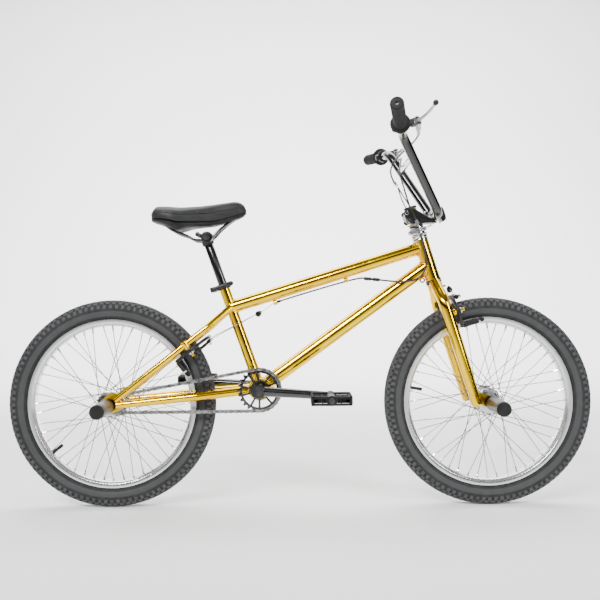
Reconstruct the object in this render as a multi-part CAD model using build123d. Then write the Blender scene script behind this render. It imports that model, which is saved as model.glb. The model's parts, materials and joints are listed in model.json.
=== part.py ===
"""Freestyle BMX bike.

X points forward, Y to the rider's left, Z up, in millimetres. The origin lies on the ground,
midway between the two axles. The drive train is on the rider's right, at minus Y.
"""
from build123d import *
from math import acos, atan2, cos, pi, radians, sin, tan
import os

# --- driving dimensions -------------------------------------------------------------------
WHEELBASE = 922
TYRE_R = 254
TYRE_HALF_WIDTH = 25
RIM_R = 207
RIM_BED_R = 203.9
RIM_INNER_R = 189.5
RIM_HALF_WIDTH = 16
AXLE_R = 7
RUNNING_GAP = 0.05
SPOKES = 48

HEAD_ANGLE = 72.7
SEAT_ANGLE = 70.6
FORK_OFFSET = 36
BB_X = -98
BB_Z = 288
SEAT_TUBE_LENGTH = 274
HEAD_TUBE_R = 18.2
HEAD_TUBE_BORE_R = 17
SEAT_TUBE_R = 13.2
SEATPOST_R = 11.1
TOP_TUBE_R = 15.9
DOWN_TUBE_R = 17.45
CHAIN_STAY_R = 11.1
CHAIN_STAY_END_R = 8.5
SEAT_STAY_R = 8.6
TUBE_WALL = 1.6

CRANK_LENGTH = 170
CRANK_DROP = 4
SPROCKET_TEETH = 25
COG_TEETH = 9
CHAIN_PITCH = 12.7
CHAIN_LINE_Y = -42
ROLLER_R = 3.9

FRONT_HALF_HUB = 50
FRONT_FLANGE_Y = 30
REAR_FLANGE_Y = 24
PEG_END_Y = 172
PEG_R = 17
STEERER_R = 14.3
BAR_R = 11.1
BAR_HALF_WIDTH = 335
GRIP_LENGTH = 130
CABLE_R = 2.2
WIRE_R = 1.0

AXLE_Z = TYRE_R
REAR_X = -WHEELBASE / 2
FRONT_X = WHEELBASE / 2

# --- local frames -------------------------------------------------------------------------
REAR_AXLE = Vector(REAR_X, 0, AXLE_Z)
FRONT_AXLE = Vector(FRONT_X, 0, AXLE_Z)
BB = Vector(BB_X, 0, BB_Z)
LEFT = Vector(0, 1, 0)
HEAD_UP = Vector(-cos(radians(HEAD_ANGLE)), 0, sin(radians(HEAD_ANGLE)))
HEAD_FORWARD = Vector(sin(radians(HEAD_ANGLE)), 0, cos(radians(HEAD_ANGLE)))
STEER_ORIGIN = FRONT_AXLE - HEAD_FORWARD * FORK_OFFSET
SEAT_UP = Vector(-cos(radians(SEAT_ANGLE)), 0, sin(radians(SEAT_ANGLE)))
SEAT_TUBE_TOP = BB + SEAT_UP * SEAT_TUBE_LENGTH
STAY_ANGLE = 38
STAY_UP = Vector(cos(radians(STAY_ANGLE)), 0, sin(radians(STAY_ANGLE)))
STAY_UNDER = Vector(sin(radians(STAY_ANGLE)), 0, -cos(radians(STAY_ANGLE)))


def steer(forward, y, up):
    """Point from its distances forward of, beside and along the steering axis."""
    return STEER_ORIGIN + HEAD_FORWARD * forward + LEFT * y + HEAD_UP * up


def stay(up, y, under):
    """Point from its distances along the seat stay line from the rear axle, and below it."""
    return REAR_AXLE + STAY_UP * up + LEFT * y + STAY_UNDER * under


def post(up, y=0, forward=0):
    """Point from its distances along the seat tube axis from the bottom bracket."""
    return BB + SEAT_UP * up + LEFT * y + Vector(SEAT_UP.Z, 0, -SEAT_UP.X) * forward


# --- shape helpers ------------------------------------------------------------------------
def rod(start, end, r, end_r=None, bore_r=0):
    """Round bar or tube between two points, tapering to end_r if that is given."""
    start = Vector(*start)
    end = Vector(*end)
    length = (end - start).length
    plane = Plane(origin=start, z_dir=end - start)
    if end_r is None:
        body = Solid.make_cylinder(r, length, plane)
    else:
        body = Solid.make_cone(r, end_r, length, plane)
    if bore_r:
        body = body - Solid.make_cylinder(bore_r, length, plane)
    return solid(body)


def solid(shape):
    """Largest solid of a shape, so that stray slivers of a cut are left behind."""
    return max(shape.solids(), key=lambda piece: piece.volume)


def ring(centre_x, centre_z, y_from, y_to, r, bore_r):
    """Ring about an axis along Y."""
    start = Vector(centre_x, y_from, centre_z)
    end = Vector(centre_x, y_to, centre_z)
    return rod(start, end, r, bore_r=bore_r)


def bent_tube(points, radii, r, bore_r=0):
    """Tube of constant section along straight runs joined by tangent arcs."""
    path = FilletPolyline(*points, radius=radii)
    section = Circle(r)
    if bore_r:
        section = section - Circle(bore_r)
    start = Plane(origin=path @ 0, z_dir=path % 0)
    return solid(sweep(start * section, path=path))


def corner_radii(points, share=0.45):
    """Radius of the arc at each corner: share of the shorter run over tan(half the turn)."""
    radii = []
    for before, here, after in zip(points, points[1:], points[2:]):
        run_in = Vector(*here) - Vector(*before)
        run_out = Vector(*after) - Vector(*here)
        turn = radians(run_in.get_angle(run_out))
        radii.append(share * min(run_in.length, run_out.length) / tan(turn / 2))
    return radii


def cable(name, points, r):
    """Cable along straight runs joined by the largest arcs that fit."""
    radii = corner_radii(points)
    print(name, "smallest bend radius", round(min(radii), 1), "mm")
    return bent_tube(points, radii, r)


def slab(outline, plane, thickness):
    """Plate with the given outline, extruded to thickness along the plane's normal."""
    return solid(extrude(plane * outline, amount=thickness))


def tapered_link(a, b, ra, rb):
    """Outline of two discs joined by their outer tangents."""
    a = Vector(*a)
    b = Vector(*b)
    run = b - a
    turn = acos((ra - rb) / run.length)
    heading = atan2(run.Y, run.X)
    sides = []
    for sign in (1, -1):
        direction = Vector(cos(heading + sign * turn), sin(heading + sign * turn))
        sides.append((a + direction * ra, b + direction * rb))
    corners = [sides[0][0], sides[0][1], sides[1][1], sides[1][0]]
    middle = make_face(Polyline(*[(c.X, c.Y) for c in corners], close=True))
    return middle + Pos(a.X, a.Y) * Circle(ra) + Pos(b.X, b.Y) * Circle(rb)


def mirrored(shape):
    """The same shape on the other side of the bike."""
    return solid(mirror(shape, about=Plane.XZ))


def mirror_point(point):
    """The same point on the other side of the bike."""
    return Vector(point.X, -point.Y, point.Z)


def both_sides(shape):
    """A piece and its mirror image."""
    return [shape, mirrored(shape)]


def turned_profile(points, centre, holes=()):
    """Solid of revolution about the wheel axis through centre; points are (y, radius)."""
    face = make_face(Polyline(*points, close=True))
    for hole in holes:
        face = face - make_face(Polyline(*hole, close=True))
    plane = Plane(origin=centre, x_dir=(0, 1, 0), z_dir=(1, 0, 0))
    return solid(revolve(plane * face, axis=Axis(centre, (0, 1, 0))))


def carve(shape, *cutters):
    """Shape with its neighbours' space taken away."""
    for cutter in cutters:
        shape = solid(shape - cutter)
    return shape


PARTS = {}


def keep(name, *pieces):
    """Hold the pieces of one node until they are written."""
    PARTS[name] = list(pieces)


# --- frame --------------------------------------------------------------------------------
HEAD_BOTTOM = 325
HEAD_TOP = 426
TOP_TUBE_JOINT = 407.8
DOWN_TUBE_JOINT = 362
TOP_TUBE_SEAT_JOINT = 212
SEAT_TUBE_BORE_R = SEATPOST_R + 0.03
BB_SHELL_R = 27
BB_HALF_WIDTH = 34
SPINDLE_R = 9.5
DROPOUT_THICKNESS = 6
DROPOUT_R = 19
STAY_DROPOUT_Y = 58
CABLE_STOP_ALONG = 108
CABLE_GUIDE_ALONG = 291
CABLE_DROP = 5
STUD_UP = 235
STUD_Y = 48
STUD_PIN_R = 4


def build_frame():
    """Main triangle, stays and the plates brazed to them, each mitred round its neighbour."""
    head_solid = rod(steer(0, 0, HEAD_BOTTOM), steer(0, 0, HEAD_TOP), HEAD_TUBE_R)
    seat_solid = rod(BB, SEAT_TUBE_TOP, SEAT_TUBE_R)
    shell_solid = rod(BB - LEFT * BB_HALF_WIDTH, BB + LEFT * BB_HALF_WIDTH, BB_SHELL_R)

    head_tube = rod(steer(0, 0, HEAD_BOTTOM), steer(0, 0, HEAD_TOP), HEAD_TUBE_R,
                    bore_r=HEAD_TUBE_BORE_R)
    keep("head_tube", head_tube)
    seat_tube = rod(BB, SEAT_TUBE_TOP, SEAT_TUBE_R, bore_r=SEAT_TUBE_BORE_R)
    keep("seat_tube", carve(seat_tube, shell_solid))
    keep("bottom_bracket_shell",
         ring(BB.X, BB.Z, -BB_HALF_WIDTH, BB_HALF_WIDTH, BB_SHELL_R, BB_SHELL_R - 3.5))

    top_ends = (post(TOP_TUBE_SEAT_JOINT), steer(0, 0, TOP_TUBE_JOINT))
    down_ends = (BB, steer(0, 0, DOWN_TUBE_JOINT))
    top_solid = carve(rod(*top_ends, TOP_TUBE_R), head_solid, seat_solid)
    down_solid = carve(rod(*down_ends, DOWN_TUBE_R), head_solid, shell_solid, seat_solid)
    top_bore = rod(*top_ends, TOP_TUBE_R - TUBE_WALL)
    down_bore = rod(*down_ends, DOWN_TUBE_R - TUBE_WALL)
    keep("top_tube", carve(top_solid, top_bore))
    keep("down_tube", carve(down_solid, top_solid, down_bore))

    # each chain stay leaves the shell narrow and widens to its dropout
    stay_root_y = 22
    stay_bend_x = -250
    stay_tip = Vector(REAR_X + 22, STAY_DROPOUT_Y, AXLE_Z + 2)
    bend = Vector(stay_bend_x, 44, BB.Z - (BB.X - stay_bend_x) * 0.094)
    root = Vector(BB.X - 18, stay_root_y, BB.Z - 1.5)
    front_run = rod(root, bend, CHAIN_STAY_R)
    rear_run = rod(bend, stay_tip, CHAIN_STAY_R, CHAIN_STAY_END_R)
    knuckle = Pos(bend) * Sphere(CHAIN_STAY_R)
    chain_stay = solid(front_run + rear_run + knuckle)

    # each seat stay runs from the side of the seat tube down to its dropout
    seat_stay_top = post(TOP_TUBE_SEAT_JOINT + 2, 12)
    seat_stay_bend = stay(300, 42, 0)
    seat_stay_tip = stay(24, STAY_DROPOUT_Y, 0)
    stay_path = [seat_stay_top, seat_stay_bend, seat_stay_tip]
    seat_stay = bent_tube(stay_path, [60], SEAT_STAY_R)

    dropout_plate = Plane(origin=(REAR_X, STAY_DROPOUT_Y - DROPOUT_THICKNESS / 2, AXLE_Z),
                          x_dir=(1, 0, 0), z_dir=(0, 1, 0))
    outline = tapered_link((0, 0), (26, -2), DROPOUT_R, 11)
    outline += tapered_link((0, 0), (12, -17), DROPOUT_R, 15)
    outline -= Pos(2, -20) * Circle(3.5)
    slot = Circle(AXLE_R) + Pos(-DROPOUT_R, 0) * Rectangle(2 * DROPOUT_R, 2 * AXLE_R)
    dropout = slab(outline - slot, dropout_plate, DROPOUT_THICKNESS)

    chain_stay = carve(chain_stay, shell_solid, dropout)
    seat_stay = carve(seat_stay, seat_solid, dropout, chain_stay, top_solid)
    keep("chain_stays", *both_sides(chain_stay))
    keep("seat_stays", *both_sides(seat_stay))

    # bridges that tie the stays together, clear of the tyre
    brake_bridge = rod(stay(277, -44, 0), stay(277, 44, 0), 7)
    brake_bridge = carve(brake_bridge, *both_sides(seat_stay))
    low_bridge_x = BB.X - 62
    low_bridge_z = BB.Z - 62 * 0.094
    low_bridge = rod((low_bridge_x, -32, low_bridge_z), (low_bridge_x, 32, low_bridge_z), 7)
    low_bridge = carve(low_bridge, *both_sides(chain_stay))

    studs = []
    for stud in both_sides(rod(stay(STUD_UP, STUD_Y, 0), stay(STUD_UP, STUD_Y, 12), 8)):
        studs.append(carve(stud, *both_sides(seat_stay)))
    pins = both_sides(rod(stay(STUD_UP, STUD_Y, 12), stay(STUD_UP, STUD_Y, 34), STUD_PIN_R))

    # cable stop, loop guide and head tab: small plates with a hole for the cable
    guides = []
    for along in (CABLE_STOP_ALONG, CABLE_GUIDE_ALONG):
        guides.append(cable_guide(along, top_solid))
    tab = rod(steer(-HEAD_TUBE_R - 8, -5, 331), steer(-HEAD_TUBE_R - 8, 5, 331), 7)
    tab_hole = rod(steer(-HEAD_TUBE_R - 8, -6, 331), steer(-HEAD_TUBE_R - 8, 6, 331), 3.2)
    guides.append(carve(tab, head_solid, down_solid, tab_hole))
    keep("frame_fittings", *both_sides(dropout), brake_bridge, low_bridge, *studs, *pins, *guides)


def under_top_tube(along, drop=CABLE_DROP):
    """Point below the top tube, from its distances from the seat tube and under the wall."""
    start = post(TOP_TUBE_SEAT_JOINT)
    way = (steer(0, 0, TOP_TUBE_JOINT) - start).normalized()
    under = Vector(way.Z, 0, -way.X)
    return start + way * along + under * (TOP_TUBE_R + drop)


def cable_guide(along, tube):
    """Short ring hung under the top tube, in line with it."""
    body = rod(under_top_tube(along - 5), under_top_tube(along + 5), CABLE_DROP + 1)
    hole = rod(under_top_tube(along - 6), under_top_tube(along + 6), CABLE_R + 0.8)
    return carve(body, tube, hole)


# --- brakes -------------------------------------------------------------------------------
ARM_THICKNESS = 8
REAR_ANCHOR_RISE = 48
FRONT_ANCHOR_RISE = 33
ANCHOR_Y = 36
ANCHOR_R = 6
SHOE_Y = 34
PAD_R = 4.5
PAD_HALF_LENGTH = 23
REAR_PAD_UP = 192
FRONT_PAD_UP = 196
PAD_GAP = 2.4
ARM_LAYERS = {"right": (-1, 14), "left": (1, 23)}
FORK_LAYER = 9


def brake_arm(place, layer, side, rise, pad_up, pad_out):
    """One crossing arm of a U-brake and its pad.

    place(up, y, out) gives a point on the stays or fork, layer is the plate's distance out,
    and side is 1 for the arm whose pivot is on the rider's left. The arm swings from its
    pivot over the tyre to the other side, where its anchor stands rise above the pivot, and
    its lower end holds the pad beside the rim. The plate's second axis points up on the left
    side and down on the right one.
    """
    way_out = place(0, 0, 1) - place(0, 0, 0)
    plane = Plane(origin=place(0, 0, layer), x_dir=LEFT * side, z_dir=way_out)
    pivot = (STUD_Y, side * STUD_UP)
    elbow = (30, side * (STUD_UP + rise - 4))
    anchor = (-ANCHOR_Y, side * (STUD_UP + rise))
    shoe = (SHOE_Y, side * pad_up)
    outline = tapered_link(pivot, elbow, 10, 7.5)
    outline += tapered_link(elbow, anchor, 7.5, ANCHOR_R)
    outline += tapered_link(pivot, shoe, 10, 7)
    arm = slab(outline, plane, ARM_THICKNESS)
    bore = rod(place(STUD_UP, side * STUD_Y, layer - 1),
               place(STUD_UP, side * STUD_Y, layer + ARM_THICKNESS + 1), STUD_PIN_R + RUNNING_GAP)
    arm = carve(arm, bore)

    # a post on the shoe end carries the pad's neck
    pad_y = side * (RIM_HALF_WIDTH + PAD_GAP + PAD_R)
    post_start = place(pad_up, side * SHOE_Y, layer + ARM_THICKNESS)
    neck_end = place(pad_up, side * SHOE_Y, pad_out)
    pad_centre = place(pad_up, pad_y, pad_out)
    holder = rod(post_start, neck_end + way_out * 6, 5)
    neck = rod(pad_centre, neck_end, 3.2)
    arm = solid(arm + holder + neck)
    pad_half = way_out * PAD_HALF_LENGTH
    pad = rod(pad_centre - pad_half, pad_centre + pad_half, PAD_R)
    return [carve(arm, pad), pad]


def fork_place(up, y, out):
    """Point on the fork, in the order that brake_arm uses."""
    return steer(out, y, up)


def build_brakes():
    """Crossing arms with their pads, rear and front."""
    for name, (side, layer) in ARM_LAYERS.items():
        keep("rear_brake_arm_" + name,
             *brake_arm(stay, layer, side, REAR_ANCHOR_RISE, REAR_PAD_UP, 42))
        keep("front_brake_arm_" + name,
             *brake_arm(fork_place, layer + FORK_LAYER, side, FRONT_ANCHOR_RISE, FRONT_PAD_UP, 63))


# --- wheels -------------------------------------------------------------------------------
SPOKE_R = 0.9
FLANGE_R = 29.5
SPOKE_CROSSING = 10
TUBE_CENTRE_R = 226.5
FRONT_VALVE_ANGLE = 170
REAR_VALVE_ANGLE = 219
VALVE_WAY = {
    "front": Vector(cos(radians(FRONT_VALVE_ANGLE)), 0, sin(radians(FRONT_VALVE_ANGLE))),
    "rear": Vector(cos(radians(REAR_VALVE_ANGLE)), 0, sin(radians(REAR_VALVE_ANGLE))),
}


def build_tyre(centre):
    """Open-bottomed tyre casing: an outer and an inner curve joined at the beads."""
    outer = [(13.8, 204.1), (13.8, RIM_R + 0.4), (TYRE_HALF_WIDTH - 0.2, 225), (21, 242.5),
             (12, TYRE_R - 2.8), (0, TYRE_R)]
    inner = [(10.3, 204.1), (TYRE_HALF_WIDTH - 3.7, 224), (17.5, 240), (10, TYRE_R - 6.5),
             (0, TYRE_R - 5)]
    edges = []
    for flip in (1, -1):
        a, b, c, d, e, f = [(flip * y, r) for y, r in outer]
        edges += [Line(a, b), ThreePointArc(b, c, d), ThreePointArc(d, e, f)]
        g, h, k, m, n = [(flip * y, r) for y, r in inner]
        edges += [Line(a, g), ThreePointArc(g, h, k), ThreePointArc(k, m, n)]
    face = make_face(edges)
    plane = Plane(origin=centre, x_dir=(0, 1, 0), z_dir=(1, 0, 0))
    return solid(revolve(plane * face, axis=Axis(centre, (0, 1, 0))))


def build_wheel(name, centre, flange_y):
    """Tyre, inner tube with its valve, rim, spokes and hub of one wheel."""
    keep(name + "_tyre", build_tyre(centre))

    w = RIM_HALF_WIDTH
    outer = [(-w, RIM_R), (2 - w, RIM_R), (2 - w, RIM_BED_R), (w - 2, RIM_BED_R), (w - 2, RIM_R),
             (w, RIM_R), (w, 195), (9, RIM_INNER_R), (-9, RIM_INNER_R), (-w, 195)]
    hollow = [(1.8 - w, 202), (w - 1.8, 202), (w - 1.8, 196), (8.2, 191.3), (-8.2, 191.3),
              (1.8 - w, 196)]
    rim = turned_profile(outer, centre, [hollow])
    way = VALVE_WAY[name]
    valve_hole = rod(centre, centre + way * RIM_R, 4.2)
    keep(name + "_rim", carve(rim, valve_hole))

    plane = Plane(origin=centre, x_dir=(0, 1, 0), z_dir=(1, 0, 0))
    tube_face = Pos(0, TUBE_CENTRE_R) * (Circle(20) - Circle(18.6))
    tube = solid(revolve(plane * tube_face, axis=Axis(centre, (0, 1, 0))))
    valve = rod(centre + way * (RIM_INNER_R - 28), centre + way * (TUBE_CENTRE_R - 19), 3.9)
    keep(name + "_inner_tube", solid(tube + valve))

    shell = [(-flange_y - 1.5, 14), (-flange_y - 1.5, 28), (1.5 - flange_y, 28),
             (1.5 - flange_y, 19), (6 - flange_y, 16.5), (flange_y - 6, 16.5),
             (flange_y - 1.5, 19), (flange_y - 1.5, 28), (flange_y + 1.5, 28),
             (flange_y + 1.5, 14), (flange_y - 8.5, 14), (flange_y - 8.5, 13),
             (8.5 - flange_y, 13), (8.5 - flange_y, 14)]
    bearings = [ring(centre.X, centre.Z, y - 5, y + 5, 14, AXLE_R + RUNNING_GAP)
                for y in (-flange_y + 3.5, flange_y - 3.5)]
    keep(name + "_hub", turned_profile(shell, centre), *bearings)

    spokes = []
    per_flange = SPOKES // 2
    for side in (-1, 1):
        for index in range(per_flange):
            start_angle = 2 * pi * (index + (0.5 if side > 0 else 0)) / per_flange
            lean = 1 if index % 2 else -1
            reach = lean * 2 * pi * SPOKE_CROSSING / SPOKES
            end_angle = start_angle + reach
            start_y = side * (flange_y + lean * 1.1)
            start = centre + Vector(FLANGE_R * cos(start_angle), start_y,
                                    FLANGE_R * sin(start_angle))
            end = centre + Vector((RIM_INNER_R - 0.2) * cos(end_angle), side * 3,
                                  (RIM_INNER_R - 0.2) * sin(end_angle))
            spokes.append(rod(start, end, SPOKE_R))
    keep(name + "_spokes", *spokes)


def build_axles():
    """Axles with their nuts, and the pegs screwed over the axle ends."""
    for name, centre, plate_y in (
            ("front", FRONT_AXLE, FRONT_HALF_HUB + DROPOUT_THICKNESS),
            ("rear", REAR_AXLE, STAY_DROPOUT_Y + DROPOUT_THICKNESS / 2)):
        end_y = plate_y + 24
        axle = rod(centre - LEFT * end_y, centre + LEFT * end_y, AXLE_R)
        nuts = []
        for sign in (-1, 1):
            plane = Plane(origin=centre + LEFT * sign * plate_y, z_dir=LEFT * sign)
            nut = extrude(plane * RegularPolygon(11, 6), amount=11)
            nuts.append(carve(solid(nut), axle))
        keep(name + "_axle", axle, *nuts)
        start = plate_y + 11.5
        peg = rod(centre + LEFT * start, centre + LEFT * (PEG_END_Y - 5), PEG_R,
                  bore_r=PEG_R - 3.2)
        floor = rod(centre + LEFT * start, centre + LEFT * (start + 5), PEG_R - 3.2)
        peg = solid(peg + carve(floor, axle))
        cap = rod(centre + LEFT * (PEG_END_Y - 5), centre + LEFT * PEG_END_Y, PEG_R)
        keep(name + "_pegs", *both_sides(peg), *both_sides(cap))


# --- drive train --------------------------------------------------------------------------
PLATE_HALF_HEIGHT = 4.2
PLATE_THICKNESS = 1.3
CLEAR_OF_SPROCKET = 30
CLEAR_OF_COG = 22
CRANK_ARM_Y = 68
SPINDLE_END_Y = 80
PEDAL_INNER_Y = 82
PEDAL_OUTER_Y = 175
PEDAL_LENGTH = 95
PEDAL_HEIGHT = 24
PEDAL_WINDOW_X = 28


def pitch_radius(teeth):
    """Radius of the circle through the chain's rollers on a sprocket."""
    return CHAIN_PITCH / 2 / sin(pi / teeth)


def toothed_disc(teeth, thickness, centre, bore_r, windows=()):
    """Sprocket for a roller chain: a root disc with a tapered tooth between the rollers."""
    pitch_r = pitch_radius(teeth)
    root_r = pitch_r - ROLLER_R
    tip_r = pitch_r + 3.2
    face = Circle(root_r)
    for index in range(teeth):
        half_base = (CHAIN_PITCH - 2 * ROLLER_R) / 2 * root_r / pitch_r + 0.6
        tooth = make_face(Polyline((root_r - 1, -half_base), (tip_r, -1), (tip_r, 1),
                                   (root_r - 1, half_base), close=True))
        face += Rot(0, 0, 360 * (index + 0.5) / teeth) * tooth
    face -= Circle(bore_r)
    for window in windows:
        face -= window
    plane = Plane(origin=centre, x_dir=(1, 0, 0), z_dir=(0, -1, 0))
    return slab(face, plane, thickness)


def belt_outline(offset):
    """Outline of the chain run at a distance outside the pitch line, seen from the right."""
    big_r = pitch_radius(SPROCKET_TEETH) + offset
    small_r = pitch_radius(COG_TEETH) + offset
    return tapered_link((BB.X, BB.Z), (REAR_AXLE.X, REAR_AXLE.Z), big_r, small_r)


def build_chain():
    """Two loops of side plates, joined by rollers on the runs clear of the teeth."""
    loop = belt_outline(PLATE_HALF_HEIGHT) - belt_outline(-PLATE_HALF_HEIGHT)
    sides = []
    for y in (CHAIN_LINE_Y - 1.8, CHAIN_LINE_Y + 3.1):
        plane = Plane(origin=(0, y, 0), x_dir=(1, 0, 0), z_dir=(0, -1, 0))
        sides.append(slab(loop, plane, PLATE_THICKNESS))
    chain = sides[0] + sides[1]

    # the two straight runs are the outer tangents of the two pitch circles
    run = BB - REAR_AXLE
    big_r = pitch_radius(SPROCKET_TEETH)
    small_r = pitch_radius(COG_TEETH)
    turn = acos((big_r - small_r) / run.length)
    heading = atan2(run.Z, run.X) + pi
    half_roller = LEFT * 1.9
    for sign in (1, -1):
        way = Vector(cos(heading + sign * turn), 0, sin(heading + sign * turn))
        start = BB + way * big_r + LEFT * CHAIN_LINE_Y
        end = REAR_AXLE + way * small_r + LEFT * CHAIN_LINE_Y
        along = (end - start).normalized()
        count = int(((end - start).length - CLEAR_OF_SPROCKET - CLEAR_OF_COG) / CHAIN_PITCH)
        for index in range(count + 1):
            centre = start + along * (CLEAR_OF_SPROCKET + index * CHAIN_PITCH)
            chain += rod(centre - half_roller, centre + half_roller, ROLLER_R - 0.4)
    keep("chain", *chain.solids())


def sprocket_windows():
    """Five wide rounded windows with a narrow one between each pair."""
    windows = []
    for index in range(5):
        large = Rot(0, 0, 72 * index + 75) * (Pos(31, 0) * RectangleRounded(19, 24, 6))
        small = Rot(0, 0, 72 * index + 111) * (Pos(31.5, 0) * RectangleRounded(18, 12, 5))
        windows += [large, small]
    return windows


def crank_point(y, along, side):
    """Point on a crank arm's centreline; the arms lie along one line through the axle."""
    angle = radians(-CRANK_DROP)
    return BB + Vector(cos(angle), 0, sin(angle)) * along * side + LEFT * y


def build_cranks():
    """Spindle, arms, sprocket and pedals. The right arm points forward, the left one back."""
    spindle = rod(BB - LEFT * SPINDLE_END_Y, BB + LEFT * SPINDLE_END_Y, SPINDLE_R)
    bolts = both_sides(rod(BB + LEFT * SPINDLE_END_Y, BB + LEFT * (SPINDLE_END_Y + 4), 12))
    keep("crank_spindle", spindle, *bolts)
    spacer = ring(BB.X, BB.Z, 12 - CRANK_ARM_Y, CHAIN_LINE_Y - 1.5, 15, SPINDLE_R)
    arms = []
    pedal_axles = []
    for name, side in (("right", 1), ("left", -1)):
        y = -CRANK_ARM_Y * side
        boss = rod(BB + LEFT * (y - 12), BB + LEFT * (y + 12), 17)
        arm = rod(crank_point(y, 0, side), crank_point(y, CRANK_LENGTH, side), 13.5, 10.5)
        eye = rod(crank_point(y - 10, CRANK_LENGTH, side),
                  crank_point(y + 10, CRANK_LENGTH, side), 13)
        axle_out = crank_point(-176 * side, CRANK_LENGTH, side)
        axle_start = crank_point(y + 10 * side, CRANK_LENGTH, side)
        axle = rod(axle_start, axle_out, 7)
        arms.append(carve(solid(boss + arm + eye), spindle, axle, spacer, *bolts))
        pedal_axles.append(axle)
        keep("pedal_" + name, build_pedal(crank_point(0, CRANK_LENGTH, side), side))
    keep("crank_arms", *arms)
    keep("pedal_axles", *pedal_axles)
    sprocket = toothed_disc(SPROCKET_TEETH, 3, BB + LEFT * (CHAIN_LINE_Y + 1.5), SPINDLE_R,
                            sprocket_windows())
    keep("sprocket", sprocket, spacer)
    cog = toothed_disc(COG_TEETH, 3, REAR_AXLE + LEFT * (CHAIN_LINE_Y + 1.5),
                       AXLE_R + RUNNING_GAP)
    cog_boss = ring(REAR_AXLE.X, REAR_AXLE.Z, -52, -31, 13, AXLE_R + RUNNING_GAP)
    keep("rear_cog", solid(cog + cog_boss))


def build_pedal(centre, side):
    """Platform pedal: a barrel over the axle in a frame open above, and through its ends."""
    y_in = -PEDAL_INNER_Y * side
    y_out = -PEDAL_OUTER_Y * side
    mid_y = (y_in + y_out) / 2
    width = abs(y_out - y_in)
    outline = RectangleRounded(PEDAL_LENGTH, width, 12)
    end_windows = []
    for x in (-PEDAL_WINDOW_X, PEDAL_WINDOW_X):
        outline -= Pos(x, 0) * RectangleRounded(24, width - 18, 5)
        end_windows.append(Pos(centre.X + x, mid_y, centre.Z) * Box(22, width + 2, 9))
    plane = Plane(origin=(centre.X, mid_y, centre.Z - PEDAL_HEIGHT / 2), x_dir=(1, 0, 0),
                  z_dir=(0, 0, 1))
    body = slab(outline, plane, PEDAL_HEIGHT)
    bore = rod(centre + LEFT * (y_in + 5 * side), centre + LEFT * (y_out - 5 * side),
               7 + RUNNING_GAP)
    return carve(body, bore, *end_windows)


# --- steering -----------------------------------------------------------------------------
FORK_LEG_Y = 56
FORK_LEG_R = 14.2
STEM_UP = 489
STEM_REACH = 54
STEM_HALF_WIDTH = 24
BAR_UP = 471
BAR_CENTRE = steer(STEM_REACH, 0, BAR_UP)
BAR_BEND_Y = 50
BAR_BEND_R = 38
BAR_TOP = Vector(240, 131, 885)
BAR_END = Vector(203, BAR_HALF_WIDTH, 907)
CROSSBAR_SHARE = 0.729
PIVOT_REACH = 38
BLADE = [(0, 0, 6.5), (18, 20, 5), (38, 60, 4.5), (45, 84, 5.5)]
LEVER_CABLE_START = Vector(272, 168, 877)


def build_fork():
    """Steerer and two legs that bend together over the tyre, with dropouts and brake studs."""
    steerer = rod(steer(0, 0, 298), steer(0, 0, 507), STEERER_R, bore_r=11.5)
    race = rod(steer(0, 0, 300), steer(0, 0, 312.5), HEAD_TUBE_R + 0.6)
    steerer = solid(steerer + carve(race, rod(steer(0, 0, 290), steer(0, 0, 320), 11.5)))
    leg_points = [steer(0, 12, 314), steer(0, FORK_LEG_Y, 266), steer(0, FORK_LEG_Y, 150)]
    upper = bent_tube(leg_points, [45], FORK_LEG_R)
    lower = rod(steer(0, FORK_LEG_Y, 150), steer(0, FORK_LEG_Y, 10), FORK_LEG_R, 12.2)
    leg = solid(upper + lower)
    middle = solid(extrude(Plane(origin=steer(0, 0, 0), x_dir=HEAD_FORWARD, z_dir=LEFT)
                           * Pos(0, 300) * Rectangle(90, 90), amount=1, both=True))
    above = rod(steer(0, 0, 312.4), steer(0, 0, 340), 60)
    cable_way = rod(steer(0, 0, 306), steer(34, 0, 297), CABLE_R + 1.5)
    steerer = carve(steerer, cable_way)
    race_space = rod(steer(0, 0, 299.9), steer(0, 0, 330), HEAD_TUBE_R + 0.6)
    bore_space = rod(steer(0, 0, 280), steer(0, 0, 330), STEERER_R)
    leg = carve(leg, race_space, bore_space, middle, above, cable_way)
    legs = both_sides(leg)
    plate_plane = Plane(origin=FRONT_AXLE + LEFT * FRONT_HALF_HUB, x_dir=(1, 0, 0),
                        z_dir=(0, 1, 0))
    to_leg = steer(0, 0, 26) - FRONT_AXLE
    outline = tapered_link((0, 0), (to_leg.X, -to_leg.Z), 14, 12)
    dropout = slab(outline, plate_plane, DROPOUT_THICKNESS)
    axle_hole = rod(FRONT_AXLE, FRONT_AXLE + LEFT * 90, AXLE_R)
    dropout = carve(dropout, axle_hole)
    stud = carve(rod(steer(0, STUD_Y, STUD_UP), steer(21, STUD_Y, STUD_UP), 8), leg)
    pin = rod(steer(21, STUD_Y, STUD_UP), steer(43, STUD_Y, STUD_UP), STUD_PIN_R)
    nut_space = rod(FRONT_AXLE + LEFT * (FRONT_HALF_HUB + DROPOUT_THICKNESS - 0.01),
                    FRONT_AXLE + LEFT * 190, PEG_R + 1)
    legs = [carve(shape, *both_sides(dropout), *both_sides(nut_space)) for shape in legs]
    keep("fork", steerer, *legs, *both_sides(dropout), *both_sides(stud), *both_sides(pin))


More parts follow.
